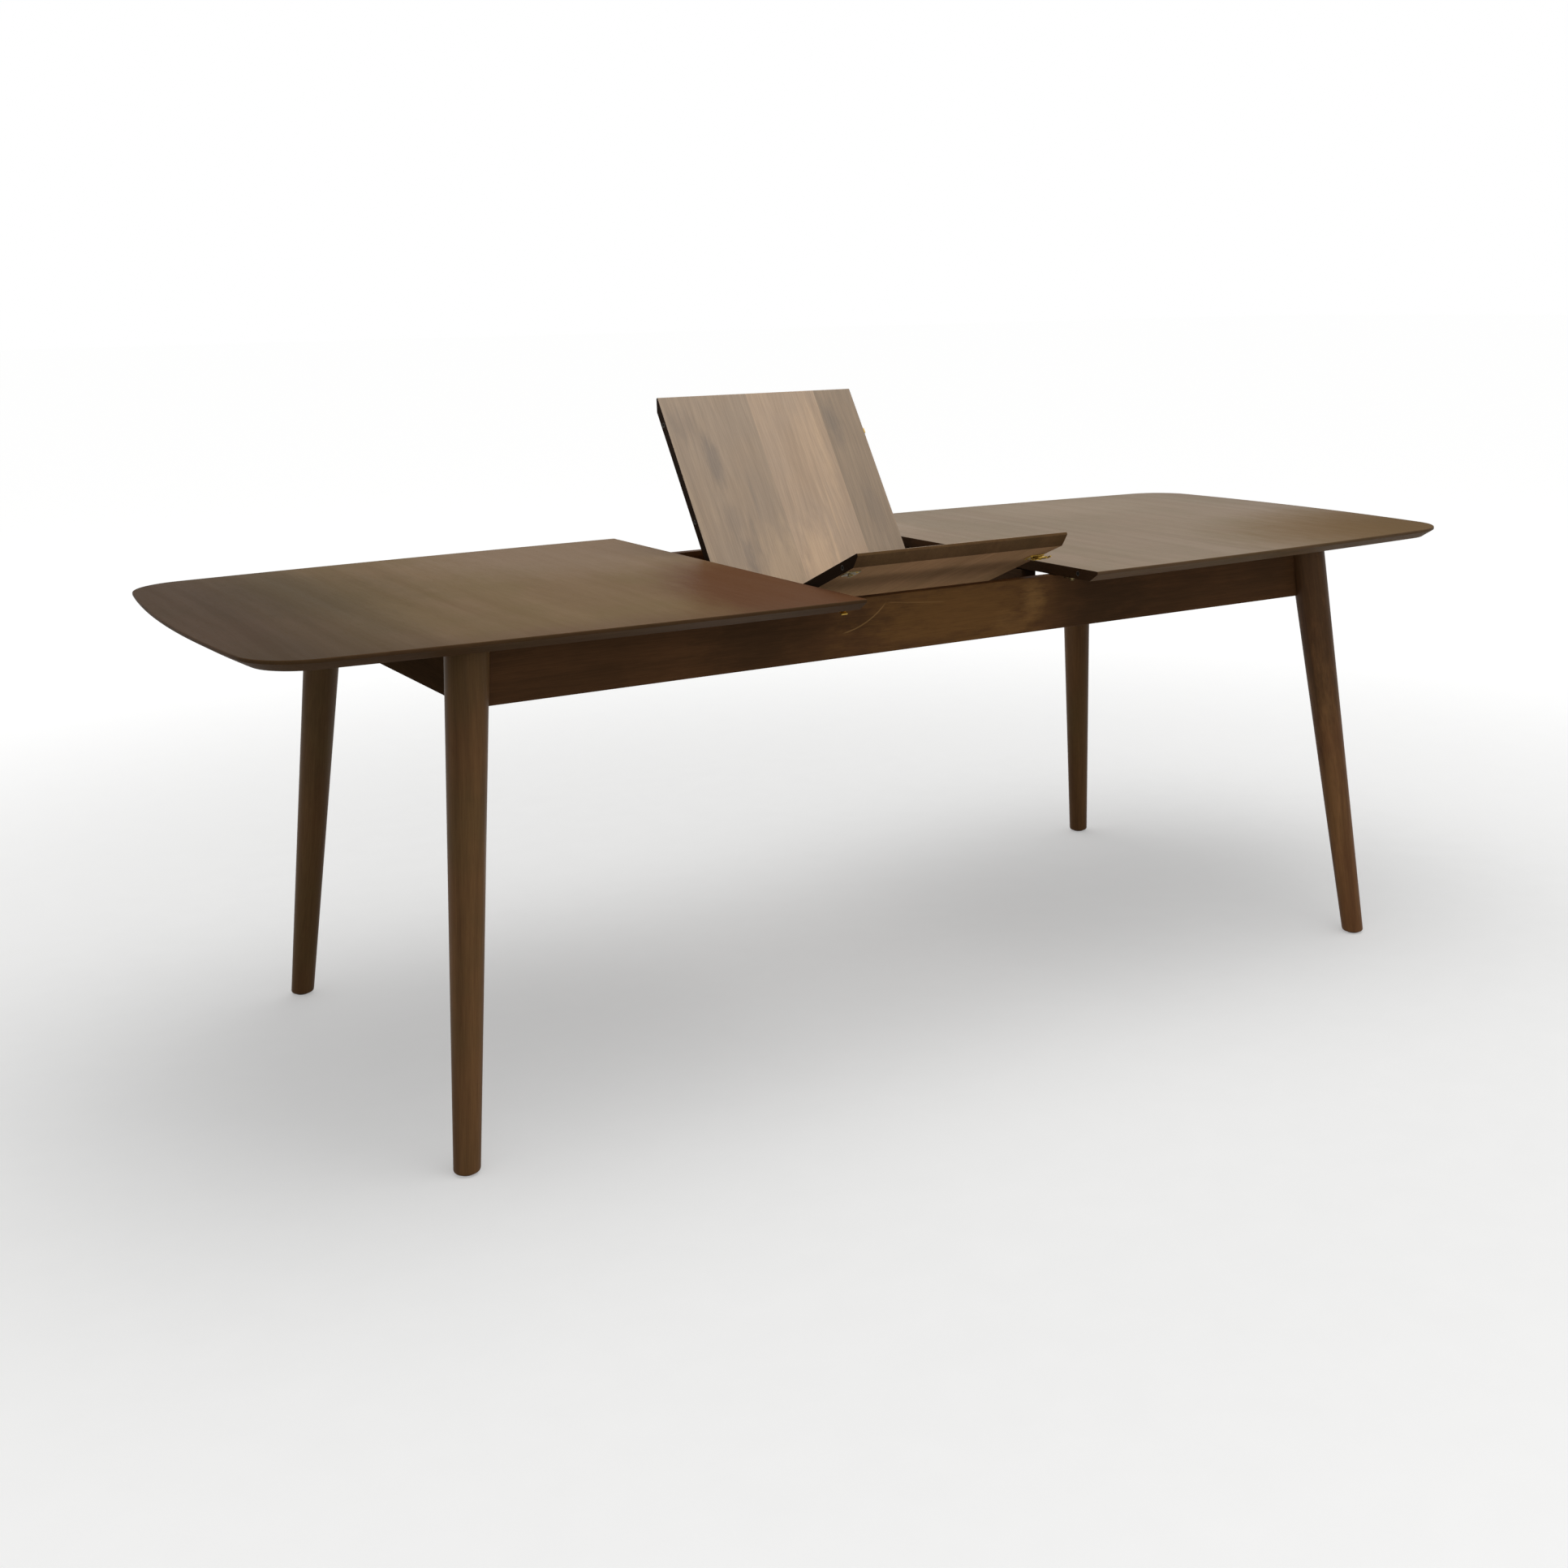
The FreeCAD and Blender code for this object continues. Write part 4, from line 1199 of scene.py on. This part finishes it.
# ------------------------------------------------------------------ screws, locks and pins
@dataclass(frozen=True)
class WoodScrew:
    """A wood screw; its thread ends in a point."""

    radius: float = 2 * MM
    head_radius: float = 4 * MM
    head_height: float = 2 * MM
    length: float = 12 * MM
    core: float = 0.72
    sides: int = 16

    def domed(self, grip: float) -> Shape:
        """The screw along +Z, with a domed head below the origin.

        Args:
            grip: how much it passes through before it bites.

        Returns:
            A new shape.
        """
        r, head, high = self.radius, self.head_radius, self.head_height
        core = self.core * r
        pitch = (self.length - 2 * r) / 6
        profile = [(0, -high), (0.55 * head, -0.96 * high), (0.84 * head, -0.72 * high),
                   (head, -0.22 * high), (0.98 * head, 0), (r, 0), (r, grip),
                   *ridges(grip, pitch, 6, ((core, 0.25), (r, 0.65), (core, 0.95))),
                   (0, grip + self.length)]
        return self.crossed(profile, (0.56, 0.13), -1.55 * high, -0.45 * high)

    def flush(self) -> Shape:
        """The screw along -Z, with a countersunk head that starts at the origin.

        Returns:
            A new shape.
        """
        r, head, high = self.radius, self.head_radius, self.head_height
        core = self.core * r
        start = -0.25 * self.length
        profile = [(0, high), (0.94 * head, high), (head, 0.9 * high), (0.6 * head, 0), (r, 0),
                   (r, start),
                   *ridges(start, -0.11 * self.length, 5, ((core, 0.3), (r, 0.7), (core, 1.0))),
                   (0, -self.length)]
        return self.crossed(profile, (0.6, 0.12), 0.35 * high, 2 * high)

    def crossed(self, profile: Sequence[Point], shares: Point, low: float, high: float) -> Shape:
        """Turns a screw and cuts the driver's cross into its head.

        Args:
            profile: the screw's outline.
            shares: the cross's half length and half width in head radii.
            low: where the cut starts.
            high: where the cut ends.

        Returns:
            A new shape.
        """
        long, short = (share * self.head_radius for share in shares)
        bars = [mesh_box((-a, -b, low), (a, b, high)) for a, b in ((long, short), (short, long))]
        return solve(lathe(profile, self.sides), [solve(bars[0], bars[1:], "UNION")])


BIG_SCREW = WoodScrew()
SMALL_SCREW = WoodScrew(1.3 * MM, 2.6 * MM, 0.9 * MM, 10 * MM)


@dataclass(frozen=True)
class TableLock:
    """Lock and keeper: the wood's edge at X 0, the gap at +X and its underside at Z 0."""

    plate: float = 2 * MM
    plate_back: float = 29 * MM
    keeper_back: float = 27 * MM
    set_back: float = 1 * MM
    width: float = 24 * MM
    rivet: float = -16 * MM
    rivet_radius: float = 2.5 * MM
    head_radius: float = 4.5 * MM
    head_height: float = 1.5 * MM
    play: float = 0.3 * MM
    lever: float = 2.5 * MM
    lever_width: float = 10 * MM
    catch: float = 11 * MM
    catch_radius: float = 3.2 * MM
    tip: float = 16.7 * MM
    pin_radius: float = 2.6 * MM
    screw_back: float = 9.5 * MM
    screw_aside: float = 7.7 * MM
    tab_length: float = 8 * MM
    tab_thickness: float = 1.4 * MM
    tab_lean: float = 30
    corner: float = 3 * MM

    def base_plate(self, back: float) -> Shape:
        """A stamped plate with round corners and broken edges.

        Args:
            back: how far it reaches back from the edge.

        Returns:
            A new shape.
        """
        half = self.width / 2
        plate = mesh_box((-back, -half, -self.plate), (-self.set_back, half, 0))
        upright = [e for e in plate.edges
                   if abs(e.verts[0].co.z - e.verts[1].co.z) > self.plate / 2]
        round_off(plate, upright, self.corner, 5)
        soften(plate, 0.35 * MM)
        return plate

    def headed_pin(self, x: float, radius: float) -> Shape:
        """A rivet or catch pin hanging down to its domed head.

        Args:
            x: where it stands.
            radius: its shank's radius.

        Returns:
            A new shape.
        """
        under = -(self.plate + 2 * self.play + self.lever)
        head, high = self.head_radius, self.head_height
        profile = [(0, 0), (radius, 0), (radius, under),
                   *((width * head, under - drop * high)
                     for width, drop in ((0.96, 0), (1, 0.3), (0.9, 0.65), (0.6, 0.9), (0.3, 1),
                                         (0.22, 0.75), (0, 0.7)))]
        return scatter(lathe(profile, 28), [Matrix.Translation((x, 0, 0))])

    def hook(self) -> Shape:
        """The lever: a round eye with a bent thumb tab, and a bar with a slot opening outward.

        Returns:
            A new shape.
        """
        top, half = -(self.plate + self.play), self.lever_width / 2
        low = top - self.lever
        lever = mesh_box((self.rivet, -half, low), (self.tip, half, top))
        eye = mesh_rod(half, (self.rivet, 0, low), (self.rivet, 0, top), 36)
        for part in (eye, self.thumb_tab(low, half)):
            lever = solve(lever, [part], "UNION")
        slot, bore = (mesh_rod(radius, (x, 0, 2 * low), (x, 0, MM))
                      for x, radius in ((self.catch, self.catch_radius),
                                        (self.rivet, self.rivet_radius + 0.1 * MM)))
        mouth = mesh_box((self.catch - self.catch_radius, 0, low - 0.1 * MM),
                         (self.catch + self.catch_radius, 2 * half, MM))
        for cutter in (slot, mouth, bore):
            lever = solve(lever, [cutter])
        soften(lever, 0.3 * MM, 2, 50)
        return lever

    def thumb_tab(self, low: float, half: float) -> Shape:
        """The tab that leans out and down beside the eye and ends in a rolled edge.

        Args:
            low: the height of the bar's underside.
            half: half the bar's width.

        Returns:
            A new shape.
        """
        long, thick, over = self.tab_length, self.tab_thickness, half + 0.4 * MM
        tongue = mesh_box((-half, -1.5 * MM, 0), (half, long, thick))
        rolled = mesh_rod(thick, (-over, long, thick / 2), (over, long, thick / 2), 16)
        place = Matrix.Translation((self.rivet, half - 0.5 * MM, low + 0.2 * MM))
        return scatter(solve(tongue, [rolled], "UNION"),
                       [place @ Matrix.Rotation(-math.radians(self.tab_lean), 4, "X")])

    def keeper(self) -> Shape:
        """The keeper's plate with its catch pin."""
        return merge([self.base_plate(self.keeper_back),
                      self.headed_pin(-self.catch, self.pin_radius)])

    def screws(self, middle: float) -> Shape:
        """The two small screws behind a rivet or a catch pin."""
        return scatter(SMALL_SCREW.domed(self.plate), [
            Matrix.Translation((middle - self.screw_back, s * self.screw_aside, -self.plate))
            for s in (1, -1)])


@dataclass
class Locks:
    """The table locks of both joints, with the hinge and bracket screws of the leaf."""

    left_y: float = 398 * MM
    right_y: float = 370 * MM
    hinge_middle: float = 130 * MM
    hinge_screw_y: float = 14.3 * MM
    bracket_x: float = 183.75 * MM
    bracket_plate: float = 2.5 * MM
    step: float = 50 / 3 * MM

    def place(self, edge: float, y: float, direction: int) -> Matrix:
        """From the lock's own frame to an edge of the flat table.

        Args:
            edge: the wood's edge along X.
            y: the place along the edge; its sign gives the side that the slot opens to.
            direction: the sign of X that points over the gap.

        Returns:
            The matrix.
        """
        turn = Matrix.Diagonal((direction, math.copysign(1, y), 1, 1))
        return Matrix.Translation((edge, y, UNDER)) @ turn

    def halves(self) -> None:
        """Builds the locks under the left half and the keepers under the right half."""
        lock = TableLock()
        left = [self.place(-OPENING, s * self.left_y, 1) for s in (-1, 1)]
        right = [self.place(OPENING, s * self.right_y, -1) for s in (-1, 1)]
        rivet = lock.headed_pin(lock.rivet, lock.rivet_radius)
        for names, shape in ((("lock_bases_left", "lock_plates_left"),
                              lock.base_plate(lock.plate_back)),
                             (("lock_pivots_left", "lock_rivets_left"), rivet),
                             (("lock_fixings_left", "lock_screws_left"),
                              lock.screws(lock.rivet))):
            show(names, "left_half", [BRASS], shape, left)
        for side, place in zip(BoardSide, reversed(left)):
            show(("lock_lever_left_" + side.word, "lock_hook_left_" + side.word),
                 "left_" + side.word + "_hook", [BRASS], lock.hook(), [place])
        for names, shape in ((("catches_right", "lock_keepers_right"), lock.keeper()),
                             (("catch_fixings_right", "keeper_screws_right"),
                              lock.screws(-lock.catch))):
            show(names, "right_half", [AGED_BRASS], shape, right)

    def board(self, side: BoardSide) -> None:
        """Builds the lock, keeper and small screws of one board of the leaf.

        Args:
            side: the board.
        """
        lock, rest, word, body = TableLock(), side.rest(), side.word, "leaf_" + side.word
        end = rest @ self.place(HALF_LEAF, side.value * self.right_y, 1)
        start = rest @ self.place(-HALF_LEAF, side.value * self.left_y, -1)
        rivet = lock.headed_pin(lock.rivet, lock.rivet_radius)
        for piece, node, rider, finish, shape, place in (
                ("lock_base_", "plate", body, BRASS, lock.base_plate(lock.plate_back), end),
                ("lock_pivot_", "rivet", body, BRASS, rivet, end),
                ("lock_lever_", "hook", body + "_hook", BRASS, lock.hook(), end),
                ("catch_", "keeper", body, AGED_BRASS, lock.keeper(), start)):
            show(("leaf_" + piece + word, f"lock_{node}_leaf_{word}"), rider, [finish],
                 shape, [place])
        high = TOP - SMALL_SCREW.head_height
        flush = [rest @ Matrix.Translation((m * self.hinge_middle + step * self.step,
                                            side.value * self.hinge_screw_y, high))
                 for m in (-1, 1) for step in (-1, 0, 1)]
        screws = [scatter(lock.screws(lock.rivet), [end]),
                  scatter(lock.screws(-lock.catch), [start]),
                  scatter(SMALL_SCREW.flush(), flush)]
        if side is BoardSide.BACK:
            seats = [rest @ Matrix.Translation((m * self.bracket_x, PIVOT[1] + s * self.step,
                                                UNDER - self.bracket_plate))
                     for m in (-1, 1) for s in (-1, 1)]
            screws.append(scatter(SMALL_SCREW.domed(self.bracket_plate), seats))
        show(("leaf_fixings_" + word, "leaf_screws_" + word), body, [BRASS],
             merge(screws))

    def build(self) -> None:
        """Builds and dresses all locks."""
        self.halves()
        for side in BoardSide:
            self.board(side)


@dataclass
class AlignmentPins:
    """Steel pins with bullet noses in the left half's edge and in the leaf's right end."""

    radius: float = 3 * MM
    inside: float = 16 * MM
    outside: float = 5 * MM
    nose: float = 2 * MM

    def pin(self) -> Shape:
        """One pin along +X, with the wood's edge at X 0 and grip rings inside the wood.

        Returns:
            A new shape.
        """
        r, end = self.radius, -self.inside
        rings = ridges(end + 2 * MM, 2 * MM, 5, ((r, 0), (r - 0.3 * MM, 0.2), (r, 0.4)))
        profile = [(0, end), (r - 0.5 * MM, end), (r, end + 0.5 * MM), *rings,
                   *((r - inset, self.outside - drop) for inset, drop in quarter(self.nose, 6)),
                   (0, self.outside)]
        return scatter(lathe(profile, 24), [aim((0, 0, 0), (1, 0, 0))])

    def build(self) -> None:
        """Builds and dresses the pins of the left half and of both boards."""
        z = (TOP + UNDER) / 2
        left = [Matrix.Translation((-OPENING, s * y, z)) for s in (1, -1) for y in PIN_PLACES]
        rows = [("left", "left", "left_half", left)]
        rows += [(side.word, "leaf_" + side.word, "leaf_" + side.word,
                  [side.rest() @ Matrix.Translation((HALF_LEAF, side.value * y, z))
                   for y in PIN_PLACES]) for side in BoardSide]
        for piece, node, body, places in rows:
            show(("register_pins_" + piece, "alignment_pins_" + node), body, [ZINC],
                 self.pin(), places)


@dataclass
class FrameFixings:
    """Bolts, washers and nuts of the legs, and the screws of the rails and runners."""

    face_sum: float = 999 * MM
    heights: Point = (679 * MM, 713 * MM)
    bolt_radius: float = 4 * MM
    bolt_into_leg: float = 32 * MM
    stick_out: float = 14 * MM
    washer_radius: float = 10 * MM
    washer: float = 1.6 * MM
    nut_radius: float = 7.5 * MM
    nut: float = 6.5 * MM
    guide_x: Point = (340 / 3 * MM, 340 * MM, 1700 / 3 * MM)
    guide_yz: Point = (296 * MM, 714 * MM)
    guide_grip: float = 19 * MM
    cross_place: Point = (233 * MM, 304 * MM, 654 * MM)
    cross_grip: float = 22 * MM
    runner_x: Point = (360 * MM, 480 * MM, 600 * MM)
    runner_yz: Point = (273.5 * MM, 722 * MM)
    runner_grip: float = 20 * MM

    def bolt_places(self) -> list[tuple[Matrix, float]]:
        """Where the bolts cross a corner block's face, +Z inward, and how deep each goes.

        Returns:
            For each bolt its matrix and its depth behind the face.
        """
        legs = Legs()
        foot, way = legs.axis()
        inward = Vector((-1, -1, 0)).normalized()
        places = []
        for z in self.heights:
            share = z / legs.head[2]
            axis = foot + way * share
            to_face = (axis.x + axis.y - self.face_sum) / math.sqrt(2)
            radius = legs.foot_radius + (legs.head_radius - legs.foot_radius) * share
            places.append((aim(axis + inward * to_face, inward),
                           to_face - radius + self.bolt_into_leg))
        return places

    def bolt(self, depth: float) -> Shape:
        """A hanger bolt: a fine thread for the nut, a bare middle and a coarse thread.

        Args:
            depth: how far it reaches behind the block's face.

        Returns:
            A new shape.
        """
        r, out = self.bolt_radius, self.stick_out
        core, bare = 0.75 * r, -0.45 * depth
        profile = [(0, out), (core, out), (r, out - 0.8 * MM),
                   *ridges(out - 1.4 * MM, -1.25 * MM, 10, ((0.87 * r, 0), (r, 0.48))),
                   (0.95 * r, -2 * MM), (0.95 * r, bare),
                   *ridges(bare, -0.05 * depth, 10, ((core, 0.3), (r, 0.65), (core, 0.95))),
                   (0, -depth)]
        return lathe(profile, 20)

    def washer_ring(self) -> Shape:
        """A flat washer with its edges broken."""
        inner, outer, edge = self.bolt_radius + 0.1 * MM, self.washer_radius, 0.3 * MM
        thick = self.washer
        return lathe([(inner, 0), (outer - edge, 0), (outer, edge), (outer, thick - edge),
                      (outer - edge, thick), (inner, thick), (inner, 0)], 36)

    def hex_nut(self) -> Shape:
        """A hexagon nut with chamfered corners and a bore.

        Returns:
            A new shape.
        """
        r, low, high = self.nut_radius, self.washer, self.washer + self.nut
        nut = mesh_cone((r, r), (0, 0, low), (0, 0, high), 6)
        across, wide, rise = 0.9 * r, 1.02 * r, 0.12 * self.nut
        dome = lathe([(0, low), (across, low), (wide, low + rise), (wide, high - rise),
                      (across, high), (0, high)], 36)
        bore = mesh_rod(self.bolt_radius, (0, 0, low - MM), (0, 0, high + MM), 24)
        return solve(solve(nut, [dome], "INTERSECT"), [bore])

    def build(self) -> None:
        """Builds and dresses all fixings of the frame."""
        bolts = self.bolt_places()
        seats = [place for place, _ in bolts]
        rails = [scatter(BIG_SCREW.domed(self.guide_grip),
                         [aim((x, *self.guide_yz), (0, 1, 0)) for x in self.guide_x]),
                 scatter(BIG_SCREW.domed(self.cross_grip), [aim(self.cross_place, (0, 0, 1))])]
        for names, shape in (
                (("hanger_bolts", "leg_bolts"),
                 merge([scatter(self.bolt(depth), [place]) for place, depth in bolts])),
                (("leg_washer_rings", "leg_washers"), scatter(self.washer_ring(), seats)),
                (("leg_hex_nuts", "leg_nuts"), scatter(self.hex_nut(), seats)),
                (("rail_fixings", "rail_screws"), merge(rails))):
            show(names, "base", [ZINC], shape, CORNERS.values())
        y, z = self.runner_yz
        for side in HalfSide:
            seats = [Matrix.Translation((side.value * x, s * y, z))
                     for x in self.runner_x for s in (1, -1)]
            show(("runner_fixings_" + side.word, "runner_screws_" + side.word),
                 side.word + "_half", [ZINC], BIG_SCREW.domed(self.runner_grip), seats)


# ------------------------------------------------------------------ room
@dataclass(frozen=True)
class Viewpoint:
    """The camera: where it stands, how it is turned, and its lens on a square picture."""

    place: Point = (-1.647899, -2.72458, 1.197877)
    yaw: float = 0.5572
    pitch: float = 0.2652
    roll: float = -0.0173
    focal_px: float = 2237.9019
    middle_px: Point = (1064.9696, 971.0052)
    picture_px: float = 1932.0
    sensor_mm: float = 36.0

    def build(self) -> None:
        """Makes the scene's camera."""
        level = math.cos(self.pitch)
        forward = Vector((math.sin(self.yaw) * level, math.cos(self.yaw) * level,
                          -math.sin(self.pitch)))
        right = Vector((math.cos(self.yaw), -math.sin(self.yaw), 0))
        up = right.cross(forward)
        tilted_right = right * math.cos(self.roll) + up * math.sin(self.roll)
        tilted_up = up * math.cos(self.roll) - right * math.sin(self.roll)
        turn = Matrix((tilted_right, tilted_up, -forward)).transposed().to_4x4()
        data = bpy.data.cameras.new("viewpoint")
        data.sensor_width = self.sensor_mm
        data.lens = self.focal_px * self.sensor_mm / self.picture_px
        data.shift_x = (self.picture_px / 2 - self.middle_px[0]) / self.picture_px
        data.shift_y = (self.middle_px[1] - self.picture_px / 2) / self.picture_px
        data.clip_end = 200.0
        camera = add_object("viewpoint", data)
        camera.matrix_world = Matrix.Translation(self.place) @ turn
        bpy.context.scene.camera = camera


@dataclass(frozen=True)
class Studio:
    """A pale floor, a white surround and soft lamps: place, target, side and watts."""

    LAMPS: ClassVar[dict[str, tuple[Point, Point, float, float]]] = {
        "overhead": ((0.2, -0.2, 3.4), (0.0, 0.0, 0.7), 3.2, 70.0),
        "front_fill": ((-1.8, -4.2, 2.4), (0.0, 0.0, 0.6), 2.6, 14.0),
        "low_fill": ((0.8, -3.0, 0.5), (0.1, 0.0, 0.75), 0.8, 2.5),
        "under_fill": ((0.0, 0.25, 0.12), (0.0, 0.25, 1.0), 0.4, 1.1)}

    floor_half: float = 60.0
    surround: float = 0.38
    lift_from: Point = (0.9, 0.34)
    lift_to: Point = (4.2, 0.76)

    def background_share(self, graph: Graph) -> Socket:
        """1 where the camera, a gloss or a clear material sees the background, else 0.

        Args:
            graph: the tree that asks.

        Returns:
            The share.
        """
        share = graph.node("LightPath", output="Is Camera Ray")
        rays = share.node.outputs
        for name in ("Is Glossy Ray", "Is Transmission Ray"):
            share = graph.math("MAXIMUM", share, rays[name])
        return share

    def world(self) -> None:
        """Makes the surround: white to look at, and a soft grey light on the table."""
        graph = Graph(bpy.data.worlds.new("surround"))
        soft, white = (graph.node("Background", {"Color": (1, 1, 1, 1), "Strength": strength})
                       for strength in (self.surround, 1.0))
        both = graph.node("MixShader", (self.background_share(graph), soft, white))
        bpy.context.scene.world = graph.finish(both)

    def floor(self) -> None:
        """Makes the floor: pale and matt, lifted towards white for the camera."""
        shape = bmesh.new()
        bmesh.ops.create_grid(shape, x_segments=8, y_segments=8, size=self.floor_half)
        graph = Graph(bpy.data.materials.new("pale_floor"))
        spot = graph.place()
        colour = graph.mix(graph.noise(spot, 14.0, 4.0), (203, 203, 202), (208, 208, 207))
        matt = graph.principled(Base_Color=colour, Roughness=0.9, Specular_IOR_Level=0.0)
        away = graph.distance(spot, (0, 0, 0), (1, 1, 1))
        (near, low), (far, high) = self.lift_from, self.lift_to
        lift = graph.math("MULTIPLY", self.background_share(graph),
                          graph.ramp(away, near, far, low, high))
        glow = graph.node("Emission", {"Strength": lift})
        mesh = to_mesh("pale_floor", shape)
        mesh.materials.append(graph.finish(graph.node("AddShader", (matt, glow))))
        add_object("pale_floor", mesh)

    def build(self) -> None:
        """Makes the whole room."""
        self.world()
        self.floor()
        for name, (place, target, side, watts) in self.LAMPS.items():
            data = bpy.data.lights.new(name, "AREA")
            data.shape, data.size, data.energy = "SQUARE", side, watts
            lamp = add_object(name, data)
            lamp.matrix_world = aim(place, Vector(place) - Vector(target))
            lamp.visible_camera = False
        bpy.context.scene.view_settings.view_transform = "Standard"


def dress_model(frame: dict) -> None:
    """Dresses the nodes of the model that are shown as they are.

    Args:
        frame: the loaded frame.
    """
    rules = (("fold_hinge", BRASS), (("pivot_brackets", "pivot_pins"), ZINC),
             ("alignment_sockets", DULL_ZINC), ("pivot_bushes", NYLON_PALE),
             (("guide_rail", "runner_left", "runner_right"),
              inner_wood("rail_wood", Grain.ALONG_X, 2.0)),
             ("cross_rail", inner_wood("cross_wood", Grain.ALONG_Y, 4.0)),
             ("corner_block", inner_wood("block_wood", Grain.ALONG_Y, 6.0)))
    for starts, finish in rules:
        material = material_of(finish)
        for name in frame["nodes"]:
            if not name.startswith(starts):
                continue
            node = frame["nodes"][name]
            if not node.material_slots:
                node.data.materials.append(material)
            for slot in node.material_slots:
                slot.material = material
            LOG.info("%s: %s", name, material.name)


def main() -> None:
    """Loads the frame, builds every piece and dresses the rest of the model."""
    logging.basicConfig(level=logging.INFO, format="%(name)s %(message)s")
    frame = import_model()
    for maker in (Viewpoint(), Studio(), Legs(), Aprons(), *map(TopHalf, HalfSide),
                  *map(LeafBoard, BoardSide), Locks(), AlignmentPins(), FrameFixings()):
        maker.build()
    dress_model(frame)


if __name__ == "__main__":
    main()
